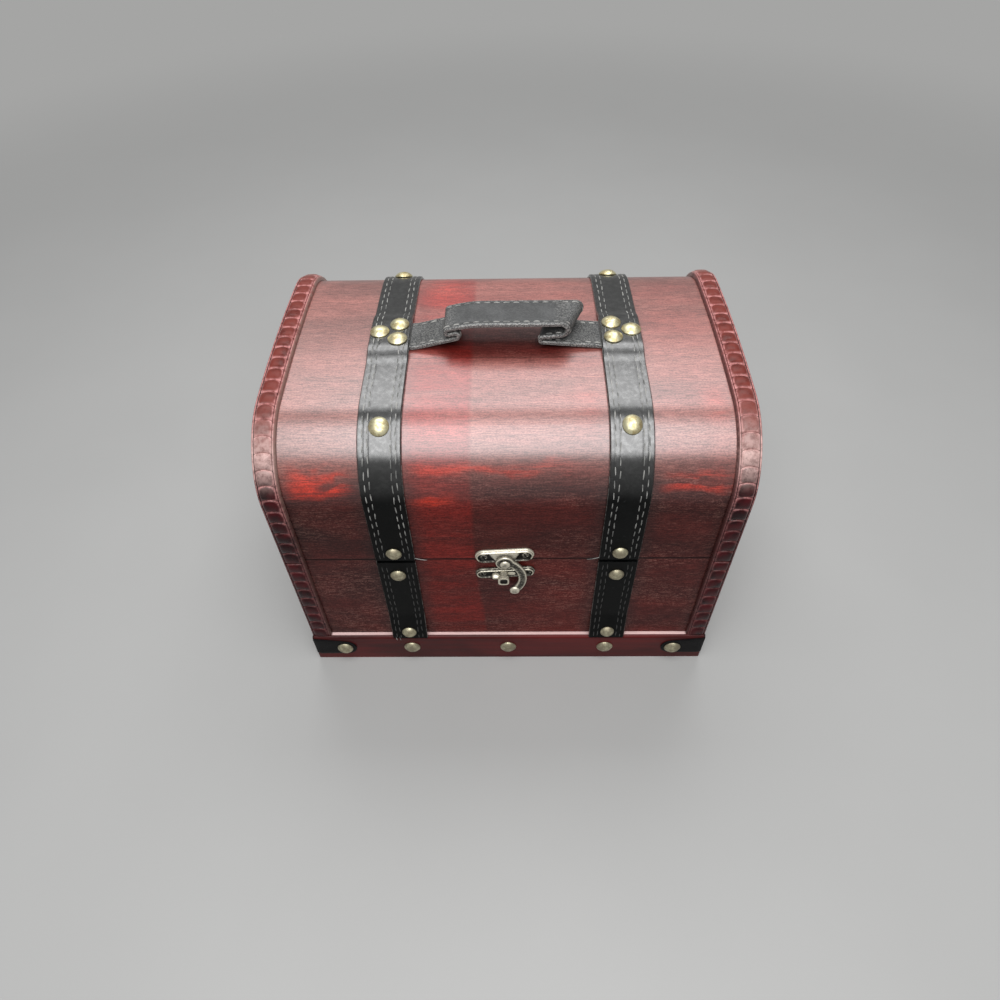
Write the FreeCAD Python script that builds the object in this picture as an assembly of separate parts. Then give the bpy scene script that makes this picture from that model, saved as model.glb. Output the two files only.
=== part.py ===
import FreeCAD, Part
import math
import os

# Treasure chest box: a board base on a mitred plinth and a bent lid on two butt hinges,
# with embossed bead edging, leather straps held by dome nails, a leather carry handle
# and a swing-hook latch. Millimetres, +Z up, front at -Y, origin at the middle of the foot.

# Overall sizes, measured over the edging
chest_width = 220.0
chest_depth = 159.0
chest_height = 171.5
seam_height = 91.0
seam_gap = 0.4
shoulder_radius = 37.0
top_radius = 600.0

# Boards
wall_thickness = 5.0
end_thickness = 6.0
floor_thickness = 5.0
skin_thickness = 4.0
board_gap = 0.1

# Glue line under the edging, straps, caps and handle
glue_gap = 0.1

# Bead edging, an angle that laps round each arris
edging_rise = 3.5
edging_width = 10.5
edging_side_width = 10.5
bead_pitch = 7.75
bead_depth = 1.1
edging_across_shares = (0.0, 0.15, 0.5, 0.85, 1.0)
bead_crown_shares = (1.0, 0.85, 0.0, 0.85, 2.0)
bead_groove_shares = (1.05, 1.05, 1.05, 1.05, 2.05)

# Plinth and its corner caps
plinth_height = 22.0
plinth_round = 1.5
cap_thickness = 0.6
cap_margin = 1.8
cap_end_radius = 6.2

# Leather straps
strap_spacing_share = 0.4973
strap_width = 19.5
strap_thickness = 1.6
strap_seam_gap = 0.8
strap_kick = 2.4
strap_kick_height = 20.0
strap_ramp = 6.0

# Carry handle, one strap folded back on itself at both ends
handle_width = 19.5
handle_thickness = 2.0
handle_shift = -1.5
handle_tab_reach = 9.3
handle_left_slope = 14.0
handle_right_slope = 5.2
handle_lift_radius = 20.0
handle_left_run = 18.0
handle_left_overlap = 2.5
handle_left_fold_radius = 1.4
handle_crown_radius = 60.0
handle_ends = 50.9
handle_right_curl_radius = 3.1
handle_right_fold_radius = 1.4
handle_side_room = 0.5

# Dome nails
stud_radius = 4.6
stud_dome = 2.4
stud_shank_radius = 0.9
stud_grip = 3.0
nail_clearance = 0.05
plinth_stud_height = 12.0
plinth_corner_stud = 17.0
base_stud_drop = 11.0
base_stud_rise = 6.0
lid_stud_rise = 6.5
shoulder_stud_angle = 62.0
handle_stud_outset = 5.0
handle_stud_inset = 4.0
handle_stud_spread = 11.4

# Back hinges
hinge_length = 24.0
hinge_leaf_height = 10.0
hinge_leaf_thickness = 1.0
hinge_barrel_radius = 2.2
hinge_pin_radius = 0.9
hinge_pin_end = 0.8
hinge_running_gap = 0.05
hinge_knuckle_gap = 0.3
hinge_screw_spread = 14.0
hinge_screw_drop = 6.4
lid_stop_half_angle = 55.0

# Swing-hook latch
latch_shift = -0.9
latch_plate_thickness = 1.2
latch_top_rise = 3.7
latch_ear_radius = 4.2
latch_ear_spacing = 20.4
latch_rim_width = 0.9
latch_rim_rise = 0.9
latch_pan_reach = 5.2
latch_lobe_radius = 4.6
latch_pivot_rise = 1.2
latch_boss_radius = 3.2
latch_boss_height = 1.2
rivet_radius = 1.2
rivet_head_radius = 2.5
rivet_dome = 1.3
hook_play = 0.15
hook_thickness = 1.8
hook_reach = 24.4
hook_lean = 7.0
hook_bow = 7.2
hook_arm_width = 4.0
hook_eye_width = 3.4
hook_tip_width = 2.2
hook_eye_radius = 4.6
hook_crown = 4.2
hook_tip_radius = 1.7
strike_drop = 10.0
strike_spacing = 22.8
strike_ear_radius = 3.4
strike_rib_length = 15.0
strike_rib_height = 2.2
strike_rib_rise = 0.6
post_shift = -0.7
post_radius = 1.8
post_length = 4.2
post_head_radius = 2.65
post_head_length = 1.6
screw_head_radius = 1.9
screw_head_dome = 0.9
screw_shank_radius = 0.8
screw_grip = 2.8

# One overrun serves every cut
overrun = 1.0

# Worked out from the sizes above
half_width = chest_width / 2
half_depth = chest_depth / 2
wall_x = half_width - edging_rise
wall_y = half_depth - edging_rise
base_top = seam_height - seam_gap / 2
lid_bottom = seam_height + seam_gap / 2
shoulder_y = half_depth - shoulder_radius
crown_angle = math.asin(shoulder_y / (top_radius - shoulder_radius))
top_centre_z = chest_height - top_radius
shoulder_z = top_centre_z + (top_radius - shoulder_radius) * math.cos(crown_angle)
lid_apex = chest_height - edging_rise
strap_x = half_width * strap_spacing_share
strap_inner = edging_rise - glue_gap
strap_outer = strap_inner - strap_thickness
hinge_x = (strap_x + strap_width / 2 + half_width - edging_width) / 2
hinge_y = wall_y + hinge_barrel_radius

LEFT = -1
RIGHT = 1
FRONT = -1
BACK = 1
side_names = {LEFT: "left", RIGHT: "right"}
face_names = {FRONT: "front", BACK: "back"}
X_AXIS = FreeCAD.Vector(1, 0, 0)
Y_AXIS = FreeCAD.Vector(0, 1, 0)
Z_AXIS = FreeCAD.Vector(0, 0, 1)


def point(x, y, z):
    return FreeCAD.Vector(x, y, z)


def line(start, end):
    return Part.LineSegment(start, end).toShape()


def arc(start, middle, end):
    return Part.Arc(start, middle, end).toShape()


def polygon(points):
    return Part.Face(Part.makePolygon(list(points) + [points[0]]))


def face_of(edges):
    return Part.Face(Part.Wire(edges))


def box(low, high):
    size = high - low
    return Part.makeBox(size.x, size.y, size.z, low)


def cylinder(radius, start, end):
    return Part.makeCylinder(radius, (end - start).Length, start, end - start)


def mirrored(shape, across):
    return shape.mirror(FreeCAD.Vector(), across)


def fused(shapes):
    return shapes[0].multiFuse(shapes[1:]).removeSplitter()


def drilled(shape, tools):
    return shape.cut(Part.makeCompound(tools))


# The lid's arch: straight front, round shoulder, slightly crowned top, round shoulder, straight back
def arch_place(travel, inset):
    rise = shoulder_z - lid_bottom
    turn = math.pi / 2 - crown_angle
    shoulder = shoulder_radius * turn
    top = top_radius * 2 * crown_angle
    if travel <= rise:
        return -(half_depth - inset), lid_bottom + travel
    if travel <= rise + shoulder:
        angle = math.pi - (travel - rise) / shoulder_radius
        radius = shoulder_radius - inset
        return -shoulder_y + radius * math.cos(angle), shoulder_z + radius * math.sin(angle)
    if travel <= rise + shoulder + top / 2:
        angle = math.pi / 2 + crown_angle - (travel - rise - shoulder) / top_radius
        radius = top_radius - inset
        return radius * math.cos(angle), top_centre_z + radius * math.sin(angle)
    y, z = arch_place(arch_length() - travel, inset)
    return -y, z


def arch_length():
    shoulder = shoulder_radius * (math.pi / 2 - crown_angle)
    return 2 * (shoulder_z - lid_bottom) + 2 * shoulder + top_radius * 2 * crown_angle


def arch_edges(x, inset):
    rise = shoulder_z - lid_bottom
    shoulder = shoulder_radius * (math.pi / 2 - crown_angle)
    total = arch_length()
    stops = (0, rise, rise + shoulder / 2, rise + shoulder, total / 2,
             total - rise - shoulder, total - rise - shoulder / 2, total - rise, total)
    places = [point(x, *arch_place(stop, inset)) for stop in stops]
    return [line(places[0], places[1]),
            arc(places[1], places[2], places[3]),
            arc(places[3], places[4], places[5]),
            arc(places[5], places[6], places[7]),
            line(places[7], places[8])]


def arch_ring(x, length, outer_inset, inner_inset, foot=lid_bottom):
    outer = arch_edges(x, outer_inset)
    inner = arch_edges(x, inner_inset)
    front = line(outer[0].Vertexes[0].Point, inner[0].Vertexes[0].Point)
    back = line(outer[-1].Vertexes[-1].Point, inner[-1].Vertexes[-1].Point)
    ring = face_of(outer + [back] + inner[::-1] + [front]).extrude(X_AXIS * length)
    if foot > lid_bottom:
        low = point(x - overrun, -chest_depth, 0)
        ring = ring.cut(box(low, point(x + length + overrun, chest_depth, foot)))
    return ring


def arch_board(x, length, inset):
    edges = arch_edges(x, inset)
    foot = line(edges[0].Vertexes[0].Point, edges[-1].Vertexes[-1].Point)
    return face_of(edges + [foot]).extrude(X_AXIS * length)


# Dome nails and screws: a spherical cap on a plain shank
def dome_nail(seat, outward, head_radius, dome, shank_radius, shank_length):
    rim = point(head_radius, 0, 0)
    crown = point(0, 0, dome)
    cap_radius = (head_radius ** 2 + dome ** 2) / (2 * dome)
    half_way = math.asin(head_radius / cap_radius) / 2
    middle_z = dome - cap_radius * (1 - math.cos(half_way))
    middle = point(cap_radius * math.sin(half_way), 0, middle_z)
    neck = point(shank_radius, 0, 0)
    foot = point(shank_radius, 0, -shank_length)
    tip = point(0, 0, -shank_length)
    profile = face_of([arc(rim, middle, crown), line(crown, tip), line(tip, foot),
                       line(foot, neck), line(neck, rim)])
    nail = profile.revolve(FreeCAD.Vector(), Z_AXIS, 360)
    nail.Placement = FreeCAD.Placement(seat, FreeCAD.Rotation(Z_AXIS, outward))
    return nail


def stud(seat, outward, depth):
    return dome_nail(seat, outward, stud_radius, stud_dome, stud_shank_radius, depth + stud_grip)


def stud_hole(seat, outward, depth):
    return cylinder(stud_shank_radius + nail_clearance, seat + outward * overrun,
                    seat - outward * (depth + stud_grip))


def screw(seat, outward, depth):
    length = depth + screw_grip
    return dome_nail(seat, outward, screw_head_radius, screw_head_dome, screw_shank_radius, length)


def screw_hole(seat, outward, depth):
    return cylinder(screw_shank_radius + nail_clearance, seat + outward * overrun,
                    seat - outward * (depth + screw_grip))


# Places of the dome nails: (seat, outward direction, depth of covering down to the wood)
def lid_strap_places():
    covering = glue_gap + strap_thickness
    places = []
    for side in (LEFT, RIGHT):
        for face in (FRONT, BACK):
            seat = point(side * strap_x, face * (wall_y + covering), lid_bottom + lid_stud_rise)
            places.append((seat, Y_AXIS * face, covering))
            lean = math.radians(shoulder_stud_angle)
            outward = point(0, face * math.cos(lean), math.sin(lean))
            centre = point(side * strap_x, face * shoulder_y, shoulder_z)
            places.append((centre + outward * (shoulder_radius - strap_outer), outward, covering))
    return places


def handle_stud_places():
    covering = 2 * glue_gap + handle_thickness + strap_thickness
    places = []
    for side in (LEFT, RIGHT):
        for across, along in ((handle_stud_outset, 0), (-handle_stud_inset, handle_stud_spread / 2),
                              (-handle_stud_inset, -handle_stud_spread / 2)):
            seat = point(side * (strap_x + across), handle_shift + along, lid_apex + covering)
            places.append((seat, Z_AXIS, covering))
    return places


def strap_stand_off(z):
    foot = plinth_height + glue_gap
    return strap_kick * max(0, 1 - (z - foot) / strap_kick_height)


def base_strap_places(face):
    covering = glue_gap + strap_thickness
    slope = math.atan2(strap_kick, strap_kick_height)
    low_z = plinth_height + base_stud_rise
    places = []
    for side in (LEFT, RIGHT):
        high = point(side * strap_x, face * (wall_y + covering), base_top - base_stud_drop)
        places.append((high, Y_AXIS * face, covering))
        outward = point(0, face * math.cos(slope), math.sin(slope))
        stand_off = glue_gap + strap_stand_off(low_z) + strap_thickness / math.cos(slope)
        low = point(side * strap_x, face * (wall_y + stand_off), low_z)
        places.append((low, outward, stand_off / math.cos(slope)))
    return places


def plinth_places(face):
    z = plinth_stud_height
    corner_x = half_width - plinth_corner_stud
    covering = glue_gap + cap_thickness
    places = [(point(x, face * half_depth, z), Y_AXIS * face, 0) for x in (-strap_x, 0, strap_x)]
    for side in (LEFT, RIGHT):
        places.append((point(side * corner_x, face * (half_depth + covering), z), Y_AXIS * face, covering))
    return places


def plinth_end_places(side):
    z = plinth_stud_height
    corner_y = half_depth - plinth_corner_stud
    covering = glue_gap + cap_thickness
    places = [(point(side * half_width, 0, z), X_AXIS * side, 0)]
    for face in (FRONT, BACK):
        places.append((point(side * (half_width + covering), face * corner_y, z), X_AXIS * side, covering))
    return places


def studs(places):
    return Part.makeCompound([stud(*place) for place in places])


def stud_holes(places):
    return [stud_hole(*place) for place in places]


# Places of the screws in the hinge leaves and the latch plates
def hinge_screw_places(above):
    z = seam_height + above * hinge_screw_drop
    places = []
    for side in (LEFT, RIGHT):
        for step in (-0.5, 0.5):
            x = side * hinge_x + step * hinge_screw_spread
            places.append((point(x, wall_y + hinge_leaf_thickness, z), Y_AXIS, hinge_leaf_thickness))
    return places


def latch_screw_places(spacing, z):
    y = -wall_y - latch_plate_thickness
    return [(point(latch_shift + side * spacing / 2, y, z), -Y_AXIS, latch_plate_thickness)
            for side in (LEFT, RIGHT)]


latch_top_z = seam_height + latch_top_rise
strike_z = seam_height - strike_drop
lid_straps = lid_strap_places()
handle_trios = handle_stud_places()
base_straps = {face: base_strap_places(face) for face in (FRONT, BACK)}
plinth_faces = {face: plinth_places(face) for face in (FRONT, BACK)}
plinth_ends = {side: plinth_end_places(side) for side in (LEFT, RIGHT)}
top_screws = latch_screw_places(latch_ear_spacing, latch_top_z)
strike_screws = latch_screw_places(strike_spacing, strike_z)
hinge_screws = {above: hinge_screw_places(above) for above in (-1, 1)}


def screws(places):
    return Part.makeCompound([screw(*place) for place in places])


def screw_holes(places):
    return [screw_hole(*place) for place in places]


# Base boards: front and back run the full width, the ends and the floor fit between them
def base_wall(face):
    low_y, high_y = sorted((face * (wall_y - wall_thickness), face * wall_y))
    board = box(point(-wall_x, low_y, 0), point(wall_x, high_y, base_top))
    fixings = screw_holes(strike_screws) if face == FRONT else screw_holes(hinge_screws[-1])
    return drilled(board, stud_holes(base_straps[face]) + fixings)


def base_end(side):
    low_x, high_x = sorted((side * (wall_x - end_thickness), side * wall_x))
    depth = wall_y - wall_thickness
    return box(point(low_x, -depth, 0), point(high_x, depth, base_top))


def base_floor():
    width = wall_x - end_thickness
    depth = wall_y - wall_thickness
    return box(point(-width, -depth, 0), point(width, depth, floor_thickness))


# Plinth rails: a rounded-top profile run along each side and mitred at the corners
def plinth_rail(length, outer, places):
    half = length / 2
    inner = half - edging_rise
    corner = math.sqrt(0.5) * plinth_round
    profile = face_of([
        line(point(-half, -outer + edging_rise, 0), point(-half, -outer, 0)),
        line(point(-half, -outer, 0), point(-half, -outer, plinth_height - plinth_round)),
        arc(point(-half, -outer, plinth_height - plinth_round),
            point(-half, -outer + plinth_round - corner, plinth_height - plinth_round + corner),
            point(-half, -outer + plinth_round, plinth_height)),
        line(point(-half, -outer + plinth_round, plinth_height),
             point(-half, -outer + edging_rise, plinth_height)),
        line(point(-half, -outer + edging_rise, plinth_height), point(-half, -outer + edging_rise, 0))])
    rail = profile.extrude(X_AXIS * length)
    mitre = polygon([point(-half, -outer, 0), point(half, -outer, 0), point(inner, -outer + edging_rise, 0),
                     point(-inner, -outer + edging_rise, 0)]).extrude(Z_AXIS * plinth_height)
    return drilled(rail.common(mitre), stud_holes(places))


def plinth_front_back(face):
    places = plinth_faces[face]
    if face == FRONT:
        return plinth_rail(chest_width, half_depth, places)
    turned = [(point(-seat.x, -seat.y, seat.z), -outward, depth) for seat, outward, depth in places]
    return plinth_rail(chest_width, half_depth, turned).rotate(FreeCAD.Vector(), Z_AXIS, 180)


def plinth_side(side):
    turned = []
    for seat, outward, depth in plinth_ends[side]:
        turned.append((point(side * seat.y, -side * seat.x, seat.z), -Y_AXIS, depth))
    return plinth_rail(chest_depth, half_width, turned).rotate(FreeCAD.Vector(), Z_AXIS, side * 90)


# Corner caps: a tapering tongue on each face of the corner, rounded about its nail
def cap_tongue(corner, y_face):
    high = plinth_height - cap_margin
    low = cap_margin
    nail_x = corner - plinth_corner_stud
    top = point(nail_x, y_face, plinth_stud_height + cap_end_radius)
    foot = point(nail_x, y_face, plinth_stud_height - cap_end_radius)
    end = point(nail_x - cap_end_radius, y_face, plinth_stud_height)
    outer = corner + glue_gap + cap_thickness
    return face_of([line(point(outer, y_face, low), point(outer, y_face, high)),
                    line(point(outer, y_face, high), top), arc(top, end, foot),
                    line(foot, point(outer, y_face, low))]).extrude(-Y_AXIS * cap_thickness)


def plinth_corner(side, face):
    front = cap_tongue(half_width, -half_depth - glue_gap)
    turned = cap_tongue(half_depth, -half_width - glue_gap)
    cap = fused([front, mirrored(turned, FreeCAD.Vector(1, 1, 0))])
    cap = cap if side == RIGHT else mirrored(cap, X_AXIS)
    cap = cap if face == FRONT else mirrored(cap, Y_AXIS)
    return drilled(cap, stud_holes(plinth_faces[face] + plinth_ends[side]))


# Bead edging: a ruled loft whose outer line is a chain of bead arcs, with a plain leg down the end board
def bead_section(x, place, length, groove, crown, inner_edges):
    count = round(length / bead_pitch)
    step = length / count
    chain = []
    for bead in range(count):
        start = point(x, *place(bead * step, groove))
        middle = point(x, *place((bead + 0.5) * step, crown))
        end = point(x, *place((bead + 1) * step, groove))
        chain.append(arc(start, middle, end))
    last = line(chain[-1].Vertexes[-1].Point, inner_edges[-1].Vertexes[-1].Point)
    first = line(inner_edges[0].Vertexes[0].Point, chain[0].Vertexes[0].Point)
    return Part.Wire(chain + [last] + inner_edges[::-1] + [first])


def bead_strip(place, length, inner):
    sections = []
    for across, crown, groove in zip(edging_across_shares, bead_crown_shares, bead_groove_shares):
        x = half_width - edging_width * (1 - across)
        sections.append(bead_section(x, place, length, groove * bead_depth, crown * bead_depth, inner(x)))
    return Part.makeLoft(sections, True, True)


def lid_edging(side):
    strip = bead_strip(arch_place, arch_length(), lambda x: arch_edges(x, edging_rise - glue_gap))
    leg_inset = bead_groove_shares[-1] * bead_depth
    leg = arch_ring(wall_x + glue_gap, edging_rise - glue_gap, leg_inset, edging_side_width)
    edging = fused([strip, leg])
    reach = edging_rise + overrun
    rise = reach * math.tan(math.radians(lid_stop_half_angle))
    bevel = polygon([point(0, hinge_y, seam_height), point(0, hinge_y + reach, seam_height),
                     point(0, hinge_y + reach, seam_height + rise)]).extrude(X_AXIS * chest_width)
    edging = edging.cut(bevel)
    return edging if side == RIGHT else mirrored(edging, X_AXIS)


def base_edging(side, face):
    foot = plinth_height
    length = base_top - foot

    def place(travel, inset):
        return -(half_depth - inset), foot + travel

    def inner(x):
        y = -wall_y - glue_gap
        return [line(point(x, y, foot), point(x, y, base_top))]

    strip = bead_strip(place, length, inner)
    leg_y = -half_depth + bead_groove_shares[-1] * bead_depth
    leg_end = point(half_width, -half_depth + edging_side_width, base_top)
    leg = box(point(wall_x + glue_gap, leg_y, foot), leg_end)
    edging = fused([strip, leg])
    if face == BACK:
        reach = edging_rise + overrun
        drop = reach * math.tan(math.radians(lid_stop_half_angle))
        bevel = polygon([point(0, hinge_y, seam_height), point(0, hinge_y + reach, seam_height),
                         point(0, hinge_y + reach, seam_height - drop)]).extrude(X_AXIS * chest_width)
        edging = mirrored(edging, Y_AXIS).cut(bevel)
    return edging if side == RIGHT else mirrored(edging, X_AXIS)


# Base straps lie on the wall and swing out over the plinth's ledge at the foot
def base_strap(side, face):
    foot = plinth_height + glue_gap
    top = base_top - strap_seam_gap
    bend = foot + strap_kick_height
    inner = wall_y + glue_gap
    outer = inner + strap_thickness
    x = side * strap_x - strap_width / 2
    profile = polygon([point(x, face * inner, top), point(x, face * inner, bend),
                       point(x, face * (inner + strap_kick), foot),
                       point(x, face * (outer + strap_kick), foot),
                       point(x, face * outer, bend), point(x, face * outer, top)])
    return drilled(profile.extrude(X_AXIS * strap_width), stud_holes(base_straps[face]))


# Lid straps follow the arch and rise over the handle's tab
def strap_hump(x, base_z, rise):
    half = handle_width / 2 + handle_side_room
    slope = strap_ramp / rise
    drop = strap_thickness / 2
    foot = half + strap_ramp + slope * drop
    return polygon([point(x, handle_shift - foot, base_z - drop),
                    point(x, handle_shift - half, base_z + rise),
                    point(x, handle_shift + half, base_z + rise),
                    point(x, handle_shift + foot, base_z - drop)]).extrude(X_AXIS * strap_width)


def lid_strap(side):
    x = side * strap_x - strap_width / 2
    rise = handle_thickness + glue_gap
    band = arch_ring(x, strap_width, strap_outer, strap_inner, lid_bottom + strap_seam_gap)
    over = strap_hump(x, lid_apex + glue_gap + strap_thickness, rise)
    under = strap_hump(x, lid_apex + glue_gap, rise)
    strap = band.fuse(over).cut(under).removeSplitter()
    return drilled(strap, stud_holes(lid_straps + handle_trios))


# Lid boards
def lid_skin():
    skin = arch_ring(-wall_x, 2 * wall_x, edging_rise, edging_rise + skin_thickness)
    nail_holes = stud_holes(lid_straps + handle_trios)
    fixing_holes = screw_holes(top_screws + hinge_screws[1])
    return drilled(skin, nail_holes + fixing_holes + [rivet_hole()])


def lid_end(side):
    x = wall_x - end_thickness if side == RIGHT else -wall_x
    return arch_board(x, end_thickness, edging_rise + skin_thickness + board_gap)


# Carry handle: a strap's edge line walked as straight runs and tangent bends, then given its width
def strap_walk(start, heading, moves, thickness):
    near, far = [], []
    here, angle = start, heading
    for length, radius, turn in moves:
        ahead = point(math.cos(angle), 0, math.sin(angle))
        normal = point(-math.sin(angle), 0, math.cos(angle))
        offset = normal * (thickness / 2)
        if turn == 0:
            there = here + ahead * length
            near.append(line(here + offset, there + offset))
            far.append(line(here - offset, there - offset))
        else:
            bend = math.copysign(1, turn)
            centre = here + normal * (bend * radius)
            spoke = normal * -bend
            middle = FreeCAD.Rotation(-Y_AXIS, math.degrees(turn / 2)).multVec(spoke)
            end = FreeCAD.Rotation(-Y_AXIS, math.degrees(turn)).multVec(spoke)
            there = centre + end * radius
            for edges, shift in ((near, -bend), (far, bend)):
                reach = radius + shift * thickness / 2
                edges.append(arc(centre + spoke * reach, centre + middle * reach, centre + end * reach))
            angle += turn
        here = there
    return near, far, here


def carry_handle():
    left = math.radians(handle_left_slope)
    right = math.radians(handle_right_slope)
    level = lid_apex + glue_gap + handle_thickness / 2
    lift_x = strap_x - strap_width / 2
    tab_end = strap_x + handle_tab_reach
    half_turn = math.pi
    start = point(-tab_end, 0, level)
    moves = [(tab_end - lift_x, 0, 0), (0, handle_lift_radius, left),
             (handle_left_run, 0, 0), (0, handle_left_fold_radius, half_turn),
             (handle_left_overlap, 0, 0), (0, handle_left_fold_radius, -half_turn),
             (handle_left_overlap, 0, 0), (0, handle_crown_radius, -left),
             (2 * lift_x - handle_ends, 0, 0), (0, handle_right_curl_radius, right - half_turn)]
    curl = strap_walk(start, 0, moves, handle_thickness)[2]
    # The run under the grip and the run back to the lid share what height and length are left
    fold = 2 * handle_right_fold_radius * math.cos(right)
    settle = handle_lift_radius * (1 - math.cos(right))
    runs_sum = (curl.z - level - fold - settle) / math.sin(right)
    runs_gap = (lift_x - curl.x - handle_lift_radius * math.sin(right)) / math.cos(right)
    moves += [((runs_sum - runs_gap) / 2, 0, 0), (0, handle_right_fold_radius, half_turn - 2 * right),
              ((runs_sum + runs_gap) / 2, 0, 0), (0, handle_lift_radius, right),
              (tab_end - lift_x, 0, 0)]
    near, far = strap_walk(start, 0, moves, handle_thickness)[:2]
    first = line(near[0].Vertexes[0].Point, far[0].Vertexes[0].Point)
    last = line(near[-1].Vertexes[-1].Point, far[-1].Vertexes[-1].Point)
    outline = face_of(near + [last] + far[::-1] + [first])
    strap = outline.extrude(Y_AXIS * handle_width)
    strap.translate(point(0, handle_shift - handle_width / 2, 0))
    return drilled(strap, stud_holes(handle_trios))


# Butt hinges: leaves on the outside of the back, the base leaf holding the two outer knuckles
def hinge_leaf(side, above):
    middle = side * hinge_x
    knuckle = hinge_length / 3
    clear = hinge_barrel_radius + hinge_knuckle_gap
    y_range = (wall_y, wall_y + hinge_leaf_thickness)
    z_low, z_high = sorted((seam_height + above * clear, seam_height + above * hinge_leaf_height))
    tab_low, tab_high = sorted((seam_height, seam_height + above * clear))
    plate = box(point(middle - hinge_length / 2, y_range[0], z_low),
                point(middle + hinge_length / 2, y_range[1], z_high))
    if above > 0:
        spans = [(-knuckle / 2 + hinge_knuckle_gap, knuckle / 2 - hinge_knuckle_gap)]
    else:
        spans = [(-hinge_length / 2, -knuckle / 2), (knuckle / 2, hinge_length / 2)]
    shapes = [plate]
    for low, high in spans:
        shapes.append(box(point(middle + low, y_range[0], tab_low),
                          point(middle + high, y_range[1], tab_high)))
        shapes.append(cylinder(hinge_barrel_radius, point(middle + low, hinge_y, seam_height),
                               point(middle + high, hinge_y, seam_height)))
    bore = cylinder(hinge_pin_radius + hinge_running_gap,
                    point(middle - hinge_length, hinge_y, seam_height),
                    point(middle + hinge_length, hinge_y, seam_height))
    return fused(shapes).cut(Part.makeCompound([bore] + screw_holes(hinge_screws[above])))


def hinge_pin(side):
    middle = side * hinge_x
    half = hinge_length / 2
    head_radius = (hinge_barrel_radius + hinge_pin_radius) / 2
    shapes = [cylinder(hinge_pin_radius, point(middle - half, hinge_y, seam_height),
                       point(middle + half, hinge_y, seam_height))]
    for end in (LEFT, RIGHT):
        shapes.append(cylinder(head_radius, point(middle + end * half, hinge_y, seam_height),
                               point(middle + end * (half + hinge_pin_end), hinge_y, seam_height)))
    return fused(shapes)


# Latch: plates are round-ended bars with raised rims, the hook is a crescent between an eye and a ball tip
def disc(x, z, radius, y, thickness):
    return cylinder(radius, point(x, y, z), point(x, y - thickness, z))


def round_bar(left_x, right_x, z, radius, y, thickness):
    return fused([disc(left_x, z, radius, y, thickness), disc(right_x, z, radius, y, thickness),
                  box(point(left_x, y - thickness, z - radius), point(right_x, y, z + radius))])


def latch_slab(z, spacing, ear_radius):
    reach = spacing / 2
    return round_bar(latch_shift - reach, latch_shift + reach, z, ear_radius, -wall_y,
                     latch_plate_thickness + latch_rim_rise)


def latch_pan(left_x, right_x, z, ear_radius):
    return round_bar(left_x, right_x, z, ear_radius - latch_rim_width, -wall_y - latch_plate_thickness,
                     latch_rim_rise + overrun)


pivot = point(latch_shift, -wall_y, seam_height + latch_pivot_rise)
hook_y = -wall_y - latch_plate_thickness - latch_boss_height - hook_play
rivet_seat_y = hook_y - hook_thickness - hook_play


def rivet_hole():
    return cylinder(rivet_radius + nail_clearance, point(pivot.x, rivet_seat_y, pivot.z),
                    point(pivot.x, -wall_y + screw_grip, pivot.z))


def latch_top_plate():
    slab = latch_slab(latch_top_z, latch_ear_spacing, latch_ear_radius)
    for side in (LEFT, RIGHT):
        outer_x = latch_shift + side * latch_ear_spacing / 2
        ends = sorted([outer_x, outer_x - side * latch_pan_reach])
        slab = slab.cut(latch_pan(ends[0], ends[1], latch_top_z, latch_ear_radius))
    lobe = disc(pivot.x, pivot.z, latch_lobe_radius, -wall_y, latch_plate_thickness + latch_rim_rise)
    boss = disc(pivot.x, pivot.z, latch_boss_radius, -wall_y, latch_plate_thickness + latch_boss_height)
    return drilled(fused([slab, lobe, boss]), screw_holes(top_screws) + [rivet_hole()])


def latch_pivot_rivet():
    seat = point(pivot.x, rivet_seat_y, pivot.z)
    length = -wall_y + screw_grip - rivet_seat_y
    return dome_nail(seat, -Y_AXIS, rivet_head_radius, rivet_dome, rivet_radius, length)


def latch_hook():
    lean = math.radians(hook_lean)
    down = point(math.sin(lean), 0, -math.cos(lean))
    aside = point(math.cos(lean), 0, math.sin(lean))
    eye = point(pivot.x, hook_y, pivot.z)
    tip = eye + down * hook_reach
    middle = eye + down * (hook_reach / 2)
    eye_half = aside * (hook_eye_width / 2)
    tip_half = aside * (hook_tip_width / 2)
    crown = eye - down * hook_crown
    outside = arc(crown, middle + aside * (hook_bow + hook_arm_width / 2), tip + tip_half)
    inside = arc(tip - tip_half, middle + aside * (hook_bow - hook_arm_width / 2), eye - eye_half)
    outline = [outside, line(tip + tip_half, tip - tip_half), inside, line(eye - eye_half, crown)]
    arm = face_of(outline).extrude(-Y_AXIS * hook_thickness)
    ball = Part.makeSphere(hook_tip_radius, FreeCAD.Vector(), down)
    ball.translate(tip - Y_AXIS * (hook_thickness / 2))
    ring = disc(pivot.x, pivot.z, hook_eye_radius, hook_y, hook_thickness)
    bore = cylinder(rivet_radius + hinge_running_gap, eye + Y_AXIS * overrun,
                    eye - Y_AXIS * (hook_thickness + overrun))
    return fused([arm, ball, ring]).cut(bore)


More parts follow.
